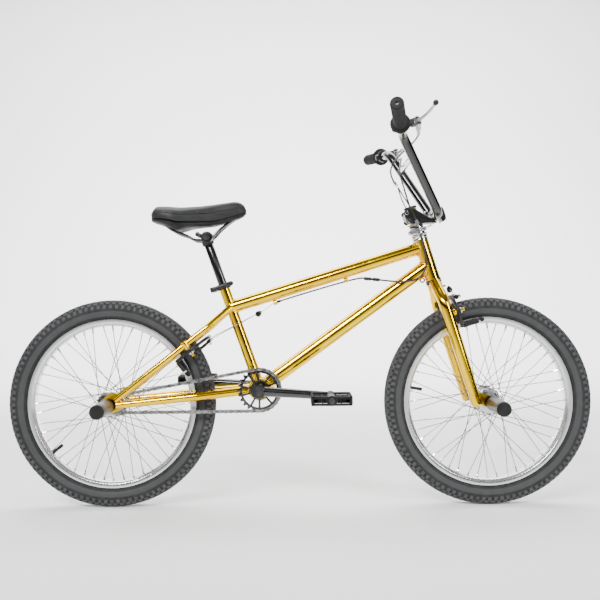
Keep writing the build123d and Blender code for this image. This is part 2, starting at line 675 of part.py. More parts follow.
def build_headset():
    """Cups pressed in the head tube, the bearings, and the two halves of the cable rotor."""
    cups = []
    for low, high, insert_low, insert_high in ((313.5, 325, 325, 335), (426, 438, 416, 426)):
        cup = rod(steer(0, 0, low), steer(0, 0, high), 20, bore_r=16)
        insert = rod(steer(0, 0, insert_low), steer(0, 0, insert_high), HEAD_TUBE_BORE_R,
                     bore_r=16)
        cups.append(solid(cup + insert))
    tab_plate = slab(Circle(22) + Rectangle(13, 66), steer_plane(438), 3)
    tab_plate = carve(tab_plate, rod(steer(0, 0, 430), steer(0, 0, 450), 18.5))
    keep("headset_cups", *cups, tab_plate)
    bearings = [rod(steer(0, 0, low), steer(0, 0, low + 9), 16, bore_r=STEERER_R + RUNNING_GAP)
                for low in (315, 427)]
    bb_bearings = [ring(BB.X, BB.Z, y, y + 10, BB_SHELL_R - 3.5, SPINDLE_R + RUNNING_GAP)
                   for y in (-BB_HALF_WIDTH + 1, BB_HALF_WIDTH - 11)]
    keep("frame_bearings", *bearings, *bb_bearings)

    spacer = rod(steer(0, 0, 438.5), steer(0, 0, 466), 17, bore_r=STEERER_R)
    top_plate = slab(Circle(21) + Rectangle(12, 70), steer_plane(466), 3)
    top_plate = carve(top_plate, rod(steer(0, 0, 460), steer(0, 0, 470), STEERER_R))
    keep("gyro_top_plate", spacer, top_plate)
    for name, low in (("lower", 446), ("upper", 451)):
        plate = slab(Circle(24) + Rectangle(11, 62), steer_plane(low), 4)
        keep("gyro_%s_ring" % name,
             carve(plate, rod(steer(0, 0, 440), steer(0, 0, 460), 18)))


def steer_plane(up):
    """Plane across the steering axis."""
    return Plane(origin=steer(0, 0, up), x_dir=HEAD_FORWARD, z_dir=HEAD_UP)


def bar_points():
    """Corners of the handlebar's centreline from one grip to the other."""
    left = [BAR_CENTRE + LEFT * BAR_BEND_Y, BAR_TOP, BAR_END]
    return [mirror_point(point) for point in reversed(left)] + left


def build_cockpit():
    """Stem, bars, grips and the brackets of the brake levers."""
    bends = [BAR_BEND_R] * 4
    bar = bent_tube(bar_points(), bends, BAR_R, BAR_R - TUBE_WALL)
    bar_solid = bent_tube(bar_points(), bends, BAR_R)
    keep("handlebar", bar)
    low = BAR_CENTRE + LEFT * BAR_BEND_Y
    cross_end = low + (BAR_TOP - low) * CROSSBAR_SHARE
    crossbar = rod(mirror_point(cross_end), cross_end, 8)
    keep("handlebar_crossbar", carve(crossbar, bar_solid))

    build_stem()

    way = (BAR_END - BAR_TOP).normalized()
    grip_in = BAR_END - way * GRIP_LENGTH
    grip = rod(grip_in, BAR_END + way * 4, 15, bore_r=BAR_R)
    flange = rod(grip_in, grip_in + way * 6, 23, bore_r=BAR_R)
    plug = rod(BAR_END, BAR_END + way * 4, BAR_R)
    grip = solid(grip + flange + plug)
    keep("grips", *both_sides(grip))

    # each lever bracket clamps on the bar inside its grip and carries the lever's pivot
    clamp_at = grip_in - way * 20
    out, down = lever_frame(way)
    pivot_at = clamp_at + out * PIVOT_REACH
    clamp = rod(clamp_at - way * 7, clamp_at + way * 7, 15, bore_r=BAR_R)
    arm = rod(clamp_at + out * 13, clamp_at + out * (PIVOT_REACH - 2), 6)
    eye = rod(pivot_at - down * 9, pivot_at + down * 9, 8)
    barrel = rod(pivot_at + down * 7, LEVER_CABLE_START + Vector(0, 2.6, 1.8), 4.2)
    slot = slab(Rectangle(60, 60), Plane(origin=pivot_at - down * 4.1, z_dir=down), 8.2)
    slot = carve(slot, rod(clamp_at, clamp_at + out * 24, 40))
    pin = rod(pivot_at - down * 8.9, pivot_at + down * 8.9, 3)
    bracket = solid(carve(solid(clamp + arm + eye + barrel), slot) + pin)
    keep("lever_brackets", *both_sides(bracket))
    blade = build_lever(pivot_at, out, down)
    keep("brake_lever_left", blade)
    keep("brake_lever_right", mirrored(blade))


def stem_block(outline, half_width):
    """Block across the steering axis, from an outline of (forward, up)."""
    plane = Plane(origin=steer(0, 0, 0), x_dir=HEAD_FORWARD, z_dir=-LEFT)
    return solid(extrude(plane * outline, amount=half_width, both=True))


def build_stem():
    """Stem that clamps the steerer behind and the bar in front, under a bolted faceplate."""
    outline = tapered_link((-3, STEM_UP), (STEM_REACH - 4, BAR_UP + 1), 19, 17)
    body = stem_block(outline, STEM_HALF_WIDTH)
    steerer_space = rod(steer(0, 0, 440), steer(0, 0, 540), STEERER_R)
    plate_space = rod(steer(0, 0, 430), steer(0, 0, 469.5), 36)
    bar_space = rod(BAR_CENTRE - LEFT * 40, BAR_CENTRE + LEFT * 40, BAR_R)
    front_space = stem_block(Pos(STEM_REACH + 29.7, BAR_UP) * Rectangle(60, 90), 40)
    back_space = stem_block(Pos(STEM_REACH - 29.7, BAR_UP) * Rectangle(60, 90), 40)
    cap = rod(steer(0, 0, 509), steer(0, 0, 513), 16, bore_r=CABLE_R + 0.5)
    cap_space = rod(steer(0, 0, 507.5), steer(0, 0, 530), 16.5)
    pinch = [rod(steer(-18, -27, up), steer(-18, 27, up), 3) for up in (479, 499)]
    body = carve(body, steerer_space, plate_space, bar_space, front_space, cap_space, *pinch)
    plate_outline = Pos(STEM_REACH, BAR_UP) * RectangleRounded(40, 38, 14)
    faceplate = carve(stem_block(plate_outline, STEM_HALF_WIDTH), bar_space, back_space)
    bolts = []
    for y in (-17, 17):
        for up in (BAR_UP - 14.5, BAR_UP + 14.5):
            start = steer(STEM_REACH + 12, y, up)
            bolts.append(rod(start, start + HEAD_FORWARD * 9, 3.5))
    keep("stem", body)
    keep("stem_faceplate", carve(faceplate, *bolts))
    keep("stem_bolts", *bolts, *pinch, cap)


def lever_frame(way):
    """Directions of the left lever: out of the bar, and down its pivot."""
    out = Vector(0.965, 0, 0.26)
    out = (out - way * out.dot(way)).normalized()
    return out, way.cross(out).normalized()


def build_lever(pivot_at, out, down):
    """Lever blade that turns on the pivot and reaches along in front of the grip."""
    plane = Plane(origin=pivot_at - down * 4, x_dir=out, z_dir=down)
    outline = tapered_link((0, 0), (6, 12), 6.5, 4.5)
    for (reach, along, r), (next_reach, next_along, next_r) in zip(BLADE, BLADE[1:]):
        outline += tapered_link((reach, -along), (next_reach, -next_along), r, next_r)
    blade = slab(outline, plane, 8)
    return carve(blade, rod(pivot_at - down * 10, pivot_at + down * 10, 3 + RUNNING_GAP))


# --- cables -------------------------------------------------------------------------------
HANGER_PULL = Vector(0.82, 0, 0.57)
REAR_HANGER = Vector(-101, 0, 472)
FRONT_HANGER_UP = 289
FRONT_HANGER_OUT = 32
WIRE_GAP = 1.2


def build_cables():
    """Housings along their clipped routes, and the hangers that pull the straddle wires."""
    stop = under_top_tube(CABLE_STOP_ALONG + 2)
    guide = under_top_tube(CABLE_GUIDE_ALONG + 22)
    rear_route = [stop, guide, (172, -4, 556), (204, -11, 552), (236, -22, 548),
                  (266, -25, 548), (293, -26, 556), (309, -27, 578), (308, -28, 612),
                  steer(-2, -28.5, 412), steer(0, -28.5, 437.8)]
    rear_cable = cable("rear_brake_cable", rear_route, CABLE_R)
    adjuster = rod((160, -2.3, 556.7), (199, -9.8, 552.8), 4)
    rear_cable = carve(rear_cable, adjuster)
    keep("rear_brake_cable", rear_cable, adjuster)

    gyro_route = [mirror_point(LEVER_CABLE_START), (273, -122, 875), (261, -66, 866), (247, -12, 857),
                  (234, 24, 843), (229, 30, 818), (237, 14, 797)]
    splitter_start = Vector(237, 14, 797)
    splitter_end = Vector(245, 0, 782)
    main = cable("gyro_cable", gyro_route, CABLE_R)
    splitter = rod(splitter_start, splitter_end, 3.6)
    branches = []
    for sign in (-1, 1):
        route = [Vector(246, 1.8 * sign, 780), (253, 17 * sign, 762), (265, 29 * sign, 740),
                 (278, 32 * sign, 716), steer(0, 31 * sign, 469.1)]
        branches.append(cable("gyro_cable branch", route, 1.6))
    main = carve(main, splitter)
    branches = [carve(branch, splitter) for branch in branches]
    keep("gyro_cable", main, splitter, *branches)

    front_route = [LEVER_CABLE_START, (271, 124, 874), (265, 82, 865), (257, 44, 846),
                   (251, 14, 820), steer(0, 0, 560), steer(0, 0, 330), steer(1, 0, 317),
                   steer(8, 0, 304.5), steer(24.5, 0, 300.2)]
    keep("front_brake_cable", cable("front_brake_cable", front_route, CABLE_R))

    # each straddle wire ends just over its arm's anchor, on the far side from the arm's pivot
    front_centre = steer(FRONT_HANGER_OUT, 0, FRONT_HANGER_UP)
    rear = hanger_plate(REAR_HANGER, HANGER_PULL)
    front = hanger_plate(front_centre, HEAD_UP)
    rear_wires = []
    front_wires = []
    for side, layer in ARM_LAYERS.values():
        y = -side * ANCHOR_Y
        out = layer + ARM_THICKNESS / 2
        above = STUD_UP + ANCHOR_R + WIRE_GAP
        rear_wires.append(rod(REAR_HANGER + Vector(-6, -side * 3.6, -2),
                              stay(above + REAR_ANCHOR_RISE, y, out), WIRE_R))
        front_wires.append(rod(front_centre - LEFT * side * 3.6,
                               steer(out + FORK_LAYER, y, above + FRONT_ANCHOR_RISE), WIRE_R))
    keep("rear_cable_hanger", rear, *[carve(wire, rear) for wire in rear_wires])
    keep("front_cable_hanger", front, *[carve(wire, front) for wire in front_wires])


def hanger_plate(centre, pull):
    """Small triangular yoke that hangs a straddle wire from a brake cable."""
    plane = Plane(origin=centre - LEFT * 3.5, x_dir=pull, z_dir=LEFT)
    outline = tapered_link((-1, 0), (5, 0), 7, 4)
    return slab(outline, plane, 7)


# --- seat ---------------------------------------------------------------------------------
SEATPOST_BOTTOM = 175
SEATPOST_TOP = 392
SADDLE_MIDDLE = (-246, 0, 699)
SADDLE_TILT = 4
COLLAR_HEIGHT = 14
SKEWER_UP = SEAT_TUBE_LENGTH - COLLAR_HEIGHT / 2
SKEWER_FORWARD = -25


def build_seat():
    """Seatpost, rails with their clamp, base and padded cover."""
    post_tube = rod(post(SEATPOST_BOTTOM), post(SEATPOST_TOP), SEATPOST_R, bore_r=SEATPOST_R - 1.6)
    keep("seatpost", post_tube)
    clamp = rod(Vector(-225, -27, 660), Vector(-225, 27, 660), 15)
    clamp = carve(clamp, rod(post(SEATPOST_BOTTOM), post(SEATPOST_TOP), SEATPOST_R))
    rail_points = [(-318, 48, 685), (-278, 40, 662), (-240, 24, 656), (-205, 21, 663),
                   (-160, 12, 694)]
    rail = bent_tube(rail_points, [30, 60, 60], 3.5)
    rails = both_sides(rail)
    clamp = carve(clamp, *rails)
    keep("saddle_rails", *rails, clamp)
    base_outline = saddle_outline(0)
    middle = Pos(SADDLE_MIDDLE)
    tilt = Rot(0, -SADDLE_TILT, 0)
    base = solid(middle * tilt * Pos(0, 0, -8) * extrude(base_outline, amount=10))
    base = carve(base, *rails)
    cover = extrude(saddle_outline(3), amount=36)
    cover = fillet(cover.edges().group_by(Axis.Z)[-1], 13)
    cover = solid(middle * tilt * Pos(0, 0, 2) * cover)
    keep("saddle_base", base)
    keep("saddle_cover", carve(cover, base))


def saddle_outline(grow):
    """Plan of the saddle about its middle: wide and round behind, narrow at the nose."""
    outline = tapered_link((-62, 22), (-62, -22), 50 + grow, 50 + grow)
    outline += tapered_link((-58, 0), (92, 0), 66 + grow, 21 + grow)
    return outline


def build_seat_clamp():
    """Split collar at the top of the seat tube and its quick-release lever."""
    back = Vector(-SEAT_UP.Z, 0, SEAT_UP.X)
    collar = rod(post(SEAT_TUBE_LENGTH - COLLAR_HEIGHT), post(SEAT_TUBE_LENGTH), 17.5,
                 bore_r=SEAT_TUBE_R)
    across = Plane(origin=post(SKEWER_UP, 0, -8), x_dir=SEAT_UP, z_dir=back)
    ears = slab(Rectangle(COLLAR_HEIGHT, 26), across, 23)
    split = slab(Rectangle(2 * COLLAR_HEIGHT, 2), across, 30)
    seat_tube_space = rod(post(180), post(SEAT_TUBE_LENGTH + 40), SEAT_TUBE_R)
    skewer = rod(post(SKEWER_UP, -17, SKEWER_FORWARD), post(SKEWER_UP, 17, SKEWER_FORWARD), 3)
    collar = carve(collar + ears, seat_tube_space)
    halves = (collar - split - skewer).solids()
    keep("seat_clamp_collar", *halves, skewer)
    lever_pivot = post(SKEWER_UP, -24, SKEWER_FORWARD)
    hub = rod(lever_pivot - SEAT_UP * 5, lever_pivot + SEAT_UP * 5, 6.9)
    blade = rod(lever_pivot - LEFT * 5, post(SKEWER_UP, -30, 27), 4, 3)
    ball = Pos(post(SKEWER_UP, -30, 27)) * Sphere(4.5)
    keep("seat_clamp_lever", solid(hub + blade + ball))


def write_parts():
    """Write every node to its own file."""
    os.makedirs("parts", exist_ok=True)
    for name, pieces in PARTS.items():
        node = pieces[0] if len(pieces) == 1 else Compound(children=pieces)
        node.label = name
        export_step(node, "parts/%s.step" % name)
    print(len(PARTS), "nodes")


build_frame()
build_brakes()
build_wheel("front", FRONT_AXLE, FRONT_FLANGE_Y)
build_wheel("rear", REAR_AXLE, REAR_FLANGE_Y)
build_axles()
build_chain()
build_cranks()
build_fork()
build_headset()
build_cockpit()
build_cables()
build_seat()
build_seat_clamp()
write_parts()
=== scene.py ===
"""Looks of the freestyle BMX bike, built round its CAD frame.

Lengths are in millimetres until a piece is made, in the same frame as the CAD: X forward,
Y to the rider's left, Z up from the ground.
"""

import json
import math

import bpy
import numpy as np
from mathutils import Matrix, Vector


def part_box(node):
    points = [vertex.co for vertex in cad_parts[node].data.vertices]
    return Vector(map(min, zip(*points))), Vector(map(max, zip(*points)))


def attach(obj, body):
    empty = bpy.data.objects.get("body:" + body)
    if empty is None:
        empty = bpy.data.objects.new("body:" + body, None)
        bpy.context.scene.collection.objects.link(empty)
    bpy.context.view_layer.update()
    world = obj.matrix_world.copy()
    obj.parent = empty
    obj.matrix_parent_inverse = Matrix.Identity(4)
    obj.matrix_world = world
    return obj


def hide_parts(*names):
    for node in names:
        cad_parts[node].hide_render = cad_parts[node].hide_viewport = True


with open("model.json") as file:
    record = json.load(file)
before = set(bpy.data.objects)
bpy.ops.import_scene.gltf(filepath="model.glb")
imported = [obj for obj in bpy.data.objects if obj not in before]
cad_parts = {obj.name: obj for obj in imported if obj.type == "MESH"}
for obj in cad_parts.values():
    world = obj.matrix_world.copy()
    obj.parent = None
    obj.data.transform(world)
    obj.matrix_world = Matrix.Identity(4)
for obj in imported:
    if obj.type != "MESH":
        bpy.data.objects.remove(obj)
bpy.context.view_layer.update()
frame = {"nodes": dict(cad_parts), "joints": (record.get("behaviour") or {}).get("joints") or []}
NODES = frame["nodes"]
JOINTS = {joint["name"]: joint for joint in frame["joints"]}

MM = 0.001
TURN = 2 * math.pi
LEFT = np.array((0.0, 1.0, 0.0))
RIGHT = -LEFT
SMOOTH_LIMIT = math.radians(38)


# --- places taken from the frame ------------------------------------------------------------
def unit(vector):
    """The same direction with length one."""
    vector = np.asarray(vector, float)
    return vector / np.linalg.norm(vector)


def joint_point(name):
    """Where a hinge turns, in millimetres."""
    return np.array(JOINTS[name]["pos_m"]) / MM


def joint_axis(name):
    """Direction of a joint."""
    return unit(JOINTS[name]["axis"])


class Axes:
    """Local frame: an origin and three directions, called with a distance along each."""

    def __init__(self, origin, first, second, third):
        self.origin = np.asarray(origin, float)
        self.ways = [unit(way) for way in (first, second, third)]

    def __call__(self, first, second, third):
        return self.origin + sum(way * d for way, d in zip(self.ways, (first, second, third)))


FRONT_AXLE = joint_point("front_wheel_spin")
REAR_AXLE = joint_point("rear_wheel_spin")
BB = joint_point("crank_spin")

head_up = joint_axis("steering_turn")
head_point = joint_point("steering_turn")
steer = Axes(head_point + head_up * (FRONT_AXLE - head_point).dot(head_up),
             np.cross(LEFT, head_up), LEFT, head_up)
stay_under = joint_axis("rear_right_arm_swing")
stay = Axes(REAR_AXLE, np.cross(stay_under, LEFT), LEFT, stay_under)
seat_up = joint_axis("saddle_height")
post = Axes(BB, seat_up, LEFT, np.cross(LEFT, seat_up))
crank_way = unit((joint_point("right_pedal_spin") - BB) * (1, 0, 1))


# --- shape tools ----------------------------------------------------------------------------
def grid_faces(rows, columns, wrap_rows=False, wrap_columns=True):
    """Quads between neighbouring points of a grid; a wrapped direction closes on itself."""
    row = np.arange(rows if wrap_rows else rows - 1)
    column = np.arange(columns if wrap_columns else columns - 1)
    row, column = np.meshgrid(row, column, indexing="ij")
    below = (row + 1) % rows
    beside = (column + 1) % columns
    corners = [row * columns + column, row * columns + beside,
               below * columns + beside, below * columns + column]
    return np.stack(corners, -1).reshape(-1, 4)


def curve(points, count):
    """Smooth line through points: a Catmull-Rom curve sampled at even steps of its parameter."""
    points = np.asarray(points, float)
    padded = np.vstack([2 * points[0] - points[1], points, 2 * points[-1] - points[-2]])
    place = np.linspace(0, len(points) - 1, count)
    span = np.minimum(place.astype(int), len(points) - 2)
    t = (place - span)[:, None]
    a, b, c, d = (padded[span + i] for i in range(4))
    return 0.5 * (2 * b + (c - a) * t + (2 * a - 5 * b + 4 * c - d) * t ** 2
                  + (3 * b - a - 3 * c + d) * t ** 3)


def line(start, end, count=2):
    """Evenly spaced points from start to end."""
    share = np.linspace(0, 1, count)[:, None]
    return np.asarray(start, float) * (1 - share) + np.asarray(end, float) * share


def bent(points, radius, steps=14):
    """Straight runs joined by tangent arcs of one radius, as a bent tube's centreline."""
    points = [np.asarray(point, float) for point in points]
    path = [points[0][None]]
    for before, here, after in zip(points, points[1:], points[2:]):
        way_in = unit(here - before)
        way_out = unit(after - here)
        half = math.acos(np.clip(way_in.dot(way_out), -1, 1)) / 2
        inward = unit(way_out - way_in)
        centre = here + inward * radius / math.cos(half)
        angle = np.linspace(-half, half, steps)[:, None]
        path.append(centre - inward * radius * np.cos(angle)
                    + unit(way_in + way_out) * radius * np.sin(angle))
    path.append(points[-1][None])
    return np.vstack(path)


def link_outline(a, b, radius_a, radius_b, steps=12):
    """Outline of two discs joined by their outer tangents."""
    a = np.asarray(a, float)
    b = np.asarray(b, float)
    run = b - a
    turn = math.acos((radius_a - radius_b) / np.linalg.norm(run))
    heading = math.atan2(run[1], run[0])
    angle_a = np.linspace(heading + turn, heading + TURN - turn, steps)
    angle_b = np.linspace(heading - turn, heading + turn, steps)
    arc_a = a + radius_a * np.stack([np.cos(angle_a), np.sin(angle_a)], -1)
    arc_b = b + radius_b * np.stack([np.cos(angle_b), np.sin(angle_b)], -1)
    return np.vstack([arc_a, arc_b])


def rounded(width, height, radius, steps=6):
    """Rectangle about the origin with quarter-circle corners."""
    outline = []
    for index, (sx, sy) in enumerate(((1, 1), (-1, 1), (-1, -1), (1, -1))):
        angle = np.linspace(0, math.pi / 2, steps) + index * math.pi / 2
        corner = np.array((sx * (width / 2 - radius), sy * (height / 2 - radius)))
        outline.append(corner + radius * np.stack([np.cos(angle), np.sin(angle)], -1))
    return np.vstack(outline)


def circle(radius, sides, phase=0.0):
    """Regular outline about the origin."""
    angle = TURN * (np.arange(sides) + phase) / sides
    return radius * np.stack([np.cos(angle), np.sin(angle)], -1)


def inset(outline, amount):
    """Anticlockwise outline moved inwards along the bisector of each corner."""
    run_in = outline - np.roll(outline, 1, 0)
    run_out = np.roll(outline, -1, 0) - outline
    normals = []
    for run in (run_in, run_out):
        length = np.maximum(np.linalg.norm(run, axis=1), 1e-9)[:, None]
        normals.append(np.stack([-run[:, 1], run[:, 0]], -1) / length)
    spread = 1 + np.sum(normals[0] * normals[1], axis=1)[:, None]
    return outline + amount * (normals[0] + normals[1]) / np.maximum(spread, 0.4)


class Shape:
    """Closed surfaces gathered into one piece."""

    def __init__(self):
        self.points = []
        self.faces = []
        self.count = 0

    def add(self, points, faces):
        """Take one closed surface, turned so that it encloses a positive volume."""
        points = np.asarray(points, float).reshape(-1, 3)
        faces = [tuple(int(i) for i in face) for face in faces]
        fans = np.array([(f[0], f[i], f[i + 1]) for f in faces for i in range(1, len(f) - 1)])
        centred = points - points.mean(0)
        a, b, c = (centred[fans[:, i]] for i in range(3))
        if np.sum(a * np.cross(b, c)) < 0:
            faces = [face[::-1] for face in faces]
        self.faces += [tuple(i + self.count for i in face) for face in faces]
        self.points.append(points)
        self.count += len(points)
        return self

    def rings(self, rings, loop=False):
        """Skin over rings of equal length; open ends close on their middle points."""
        rings = np.asarray(rings, float)
        rows, columns = rings.shape[:2]
        faces = grid_faces(rows, columns, wrap_rows=loop).tolist()
        points = rings.reshape(-1, 3)
        if loop:
            return self.add(points, faces)
        ends = np.stack([rings[0].mean(0), rings[-1].mean(0)])
        first = rows * columns
        for column in range(columns):
            beside = (column + 1) % columns
            base = (rows - 1) * columns
            faces.append((first, beside, column))
            faces.append((first + 1, base + column, base + beside))
        return self.add(np.vstack([points, ends]), faces)

    def sweep(self, path, wide, deep=None, side=None, power=2.0, sides=20, loop=False):
        """Superellipse carried along a path, with half axes that may change along it.

        The section's first half axis lies along side, or is carried forward with the least
        twist when side is not given. Power 2 is an ellipse, and more is a rounded box.
        """
        path = np.asarray(path, float)
        count = len(path)
        wide = np.broadcast_to(np.asarray(wide, float), count)
        deep = wide if deep is None else np.broadcast_to(np.asarray(deep, float), count)
        if loop:
            ahead = np.roll(path, -1, 0) - np.roll(path, 1, 0)
        else:
            ahead = np.gradient(path, axis=0)
        ahead = ahead / np.linalg.norm(ahead, axis=1)[:, None]
        across = np.empty_like(ahead)
        if side is None:
            seed = (0, 0, 1.0) if abs(ahead[0][2]) < 0.9 else (1.0, 0, 0)
            across[0] = unit(np.cross(ahead[0], seed))
            for i in range(1, count):
                across[i] = unit(across[i - 1] - ahead[i] * across[i - 1].dot(ahead[i]))
        else:
            side = np.asarray(side, float)
            across = side - ahead * (ahead @ side)[:, None]
            across = across / np.linalg.norm(across, axis=1)[:, None]
        third = np.cross(ahead, across)
        angle = TURN * np.arange(sides) / sides
        first = np.sign(np.cos(angle)) * np.abs(np.cos(angle)) ** (2 / power)
        second = np.sign(np.sin(angle)) * np.abs(np.sin(angle)) ** (2 / power)
        rings = (path[:, None] + across[:, None] * (wide[:, None] * first)[..., None]
                 + third[:, None] * (deep[:, None] * second)[..., None])
        return self.rings(rings, loop)

    def turned(self, profile, centre, way, sides=48, loop=False):
        """Profile of (distance along, radius) turned about an axis."""
        profile = np.asarray(profile, float)
        way = unit(way)
        seed = (0, 0, 1.0) if abs(way[2]) < 0.9 else (1.0, 0, 0)
        across = unit(np.cross(way, seed))
        third = np.cross(way, across)
        angle = TURN * np.arange(sides)[:, None] / sides
        spokes = across * np.cos(angle) + third * np.sin(angle)
        rings = (np.asarray(centre, float) + way * profile[:, :1, None]
                 + spokes[None] * np.maximum(profile[:, 1:, None], 0.02))
        return self.rings(rings, loop)

    def prism(self, outline, origin, x_way, y_way, thickness, chamfer=0.0):
        """Plate of an outline, raised along x_way cross y_way, with chamfered edges."""
        outline = np.asarray(outline, float)
        after = np.roll(outline, -1, 0)
        if np.sum(outline[:, 0] * after[:, 1] - outline[:, 1] * after[:, 0]) < 0:
            outline = outline[::-1]
        x_way = unit(x_way)
        y_way = unit(y_way)
        up = np.cross(x_way, y_way)
        levels = [(0.0, 0.0), (thickness, 0.0)]
        if chamfer:
            levels = [(0.0, chamfer), (chamfer, 0.0), (thickness - chamfer, 0.0), (thickness, chamfer)]
        rings = []
        for height, margin in levels:
            flat = inset(outline, margin) if margin else outline
            rings.append(np.asarray(origin) + x_way * flat[:, :1] + y_way * flat[:, 1:] + up * height)
        count = len(outline)
        faces = grid_faces(len(rings), count).tolist()
        faces.append(list(range(count))[::-1])
        faces.append([(len(rings) - 1) * count + i for i in range(count)])
        return self.add(np.vstack(rings), faces)

    def slab(self, centre, x_way, y_way, size, chamfer=0.6, corner=0.0):
        """Chamfered block about a centre, with its three sizes along x, y and their cross."""
        width, height, depth = size
        half = np.array(((1, 1), (-1, 1), (-1, -1), (1, -1))) * (width / 2, height / 2)
        outline = rounded(width, height, corner) if corner else half
        up = np.cross(unit(x_way), unit(y_way))
        return self.prism(outline, np.asarray(centre) - up * depth / 2, x_way, y_way, depth, chamfer)

    def bolt(self, base, way, radius, height):
        """Round screw head with a softened rim and a socket in its face."""
        soft = min(radius, height) * 0.25
        socket = radius * 0.52
        profile = [(0, radius), (height - soft, radius), (height, radius - soft), (height, socket),
                   (height * 0.35, socket), (height * 0.3, 0)]
        return self.turned(profile, base, way, 24)

    def nut(self, base, way, across, height, phase=0.0):
        """Hexagon nut with chamfered corners."""
        way = unit(way)
        seed = (0, 0, 1.0) if abs(way[2]) < 0.9 else (1.0, 0, 0)
        x_way = unit(np.cross(seed, way))
        outline = circle(across / math.sqrt(3), 6, phase)
        return self.prism(outline, base, x_way, np.cross(way, x_way), height, height * 0.14)

    def make(self, name, body, material, slot, *replaces):
        """Turn the gathered surfaces into a piece that rides on a body."""
        mesh = bpy.data.meshes.new(name)
        mesh.from_pydata((np.vstack(self.points) * MM).tolist(), [], self.faces)
        mesh.polygons.foreach_set("use_smooth", np.ones(len(mesh.polygons), bool))
        mesh.set_sharp_from_angle(angle=SMOOTH_LIMIT)
        mesh.materials.append(material)
        piece = bpy.data.objects.new(name, mesh)
        bpy.context.scene.collection.objects.link(piece)
        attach(piece, body)
        if replaces:
            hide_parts(*replaces)
        return piece


# --- finishes -------------------------------------------------------------------------------
class Wire:
    """A shader socket; an expression on it adds the Math nodes."""

    def __init__(self, finish, socket):
        self.finish = finish
        self.socket = socket

    def math(self, operation, first, second=0.0):
        """One Math node."""
        return self.finish.node("ShaderNodeMath", {"operation": operation}, {0: first, 1: second})

    def __add__(self, other):
        return self.math("ADD", self, other)

    def __sub__(self, other):
        return self.math("SUBTRACT", self, other)

    def __rsub__(self, other):
        return self.math("SUBTRACT", other, self)

    def __mul__(self, other):
        return self.math("MULTIPLY", self, other)

    def __pow__(self, other):
        return self.math("POWER", self, other)

    __radd__ = __add__
    __rmul__ = __mul__

    def between(self, low, high):
        """Smooth rise from 0 at low to 1 at high."""
        return self.finish.node("ShaderNodeMapRange", {"interpolation_type": "SMOOTHSTEP"},
                                {0: self, 1: low, 2: high})

    def sine(self):
        return self.math("SINE", self)


class Finish:
    """One procedural material round a Principled shader."""

    def __init__(self, name, **constants):
        self.material = bpy.data.materials.new(name)
        self.material.use_nodes = True
        self.tree = self.material.node_tree
        self.shader = self.tree.nodes["Principled BSDF"]
        for socket, value in constants.items():
            self.shader.inputs[socket.replace("_", " ").title().replace("Ior", "IOR")].default_value = value
        self.place = self.node("ShaderNodeTexCoord", {}, {}, "Object")

    def node(self, kind, settings, inputs, output=0):
        """One node of a kind: its settings first, then the values or links of its sockets."""
        node = self.tree.nodes.new(kind)
        for key, value in settings.items():
            setattr(node, key, value)
        for key, value in inputs.items():
            if isinstance(value, Wire):
                self.tree.links.new(value.socket, node.inputs[key])
            else:
                node.inputs[key].default_value = value
        return Wire(self, node.outputs[output])

    def noise(self, scale, detail=3.0, place=None):
        """Cloudy value from 0 to 1, with scale in waves per metre."""
        return self.node("ShaderNodeTexNoise", {},
                         {"Vector": place or self.place, "Scale": scale, "Detail": detail})

    def cells(self, scale, place=None):
        """Distance to the nearest of scattered points."""
        return self.node("ShaderNodeTexVoronoi", {}, {"Vector": place or self.place, "Scale": scale})

    def mix(self, share, first, second):
        """Colour between two colours."""
        return self.node("ShaderNodeMix", {"data_type": "RGBA"}, {0: share, 6: first, 7: second}, 2)

    def split(self):
        """The three object coordinates, in metres."""
        node = self.tree.nodes.new("ShaderNodeSeparateXYZ")
        self.tree.links.new(self.place.socket, node.inputs[0])
        return [Wire(self, output) for output in node.outputs]

    def radius_from(self, centre):
        """Distance from a wheel's axle, in metres."""
        x, _, z = self.split()
        x = x - float(centre[0]) * MM
        z = z - float(centre[2]) * MM
        return (x * x + z * z) ** 0.5

    def bump(self, height, strength, distance):
        """Raise the surface by a height."""
        normal = self.node("ShaderNodeBump", {},
                           {"Height": height, "Strength": strength, "Distance": distance})
        self.tree.links.new(normal.socket, self.shader.inputs["Normal"])

    def feed(self, socket, value):
        """Link a varying value to the shader."""
        self.tree.links.new(value.socket, self.shader.inputs[socket])


def grey(value, warm=0.0):
    """Neutral colour, a little warm or cool."""
    return (value * (1 + warm), value, value * (1 - warm), 1.0)


def worn(name, dark, light, rough_low, rough_high, scale=60.0, grain=900.0, depth=0.00004, **constants):
    """Finish whose colour and gloss drift slowly, over a fine grain."""
    finish = Finish(name, **constants)
    drift = finish.noise(scale, 4.0)
    fine = finish.noise(grain, 2.0)
    share = drift.between(0.3, 0.7)
    finish.feed("Base Color", finish.mix(share, dark, light))
    finish.feed("Roughness", share * (rough_high - rough_low) + rough_low + (fine - 0.5) * 0.08)
    finish.bump(fine, 0.35, depth)
    return finish.material


def gold_finish():
    """Yellow gold plating under a clear coat, with faint ripples left by polishing."""
    finish = Finish("gold_plate", metallic=1.0, coat_weight=0.15, coat_roughness=0.03)
    drift = finish.noise(14.0, 3.0)
    share = drift.between(0.35, 0.65)
    finish.feed("Base Color", finish.mix(share, (0.86, 0.5, 0.0, 1), (0.96, 0.63, 0.0, 1)))
    fine = finish.noise(420.0, 2.0)
    finish.feed("Roughness", share * 0.05 + 0.07 + fine * 0.05)
    finish.bump(drift + fine * 0.08, 0.1, 0.0008)
    return finish.material


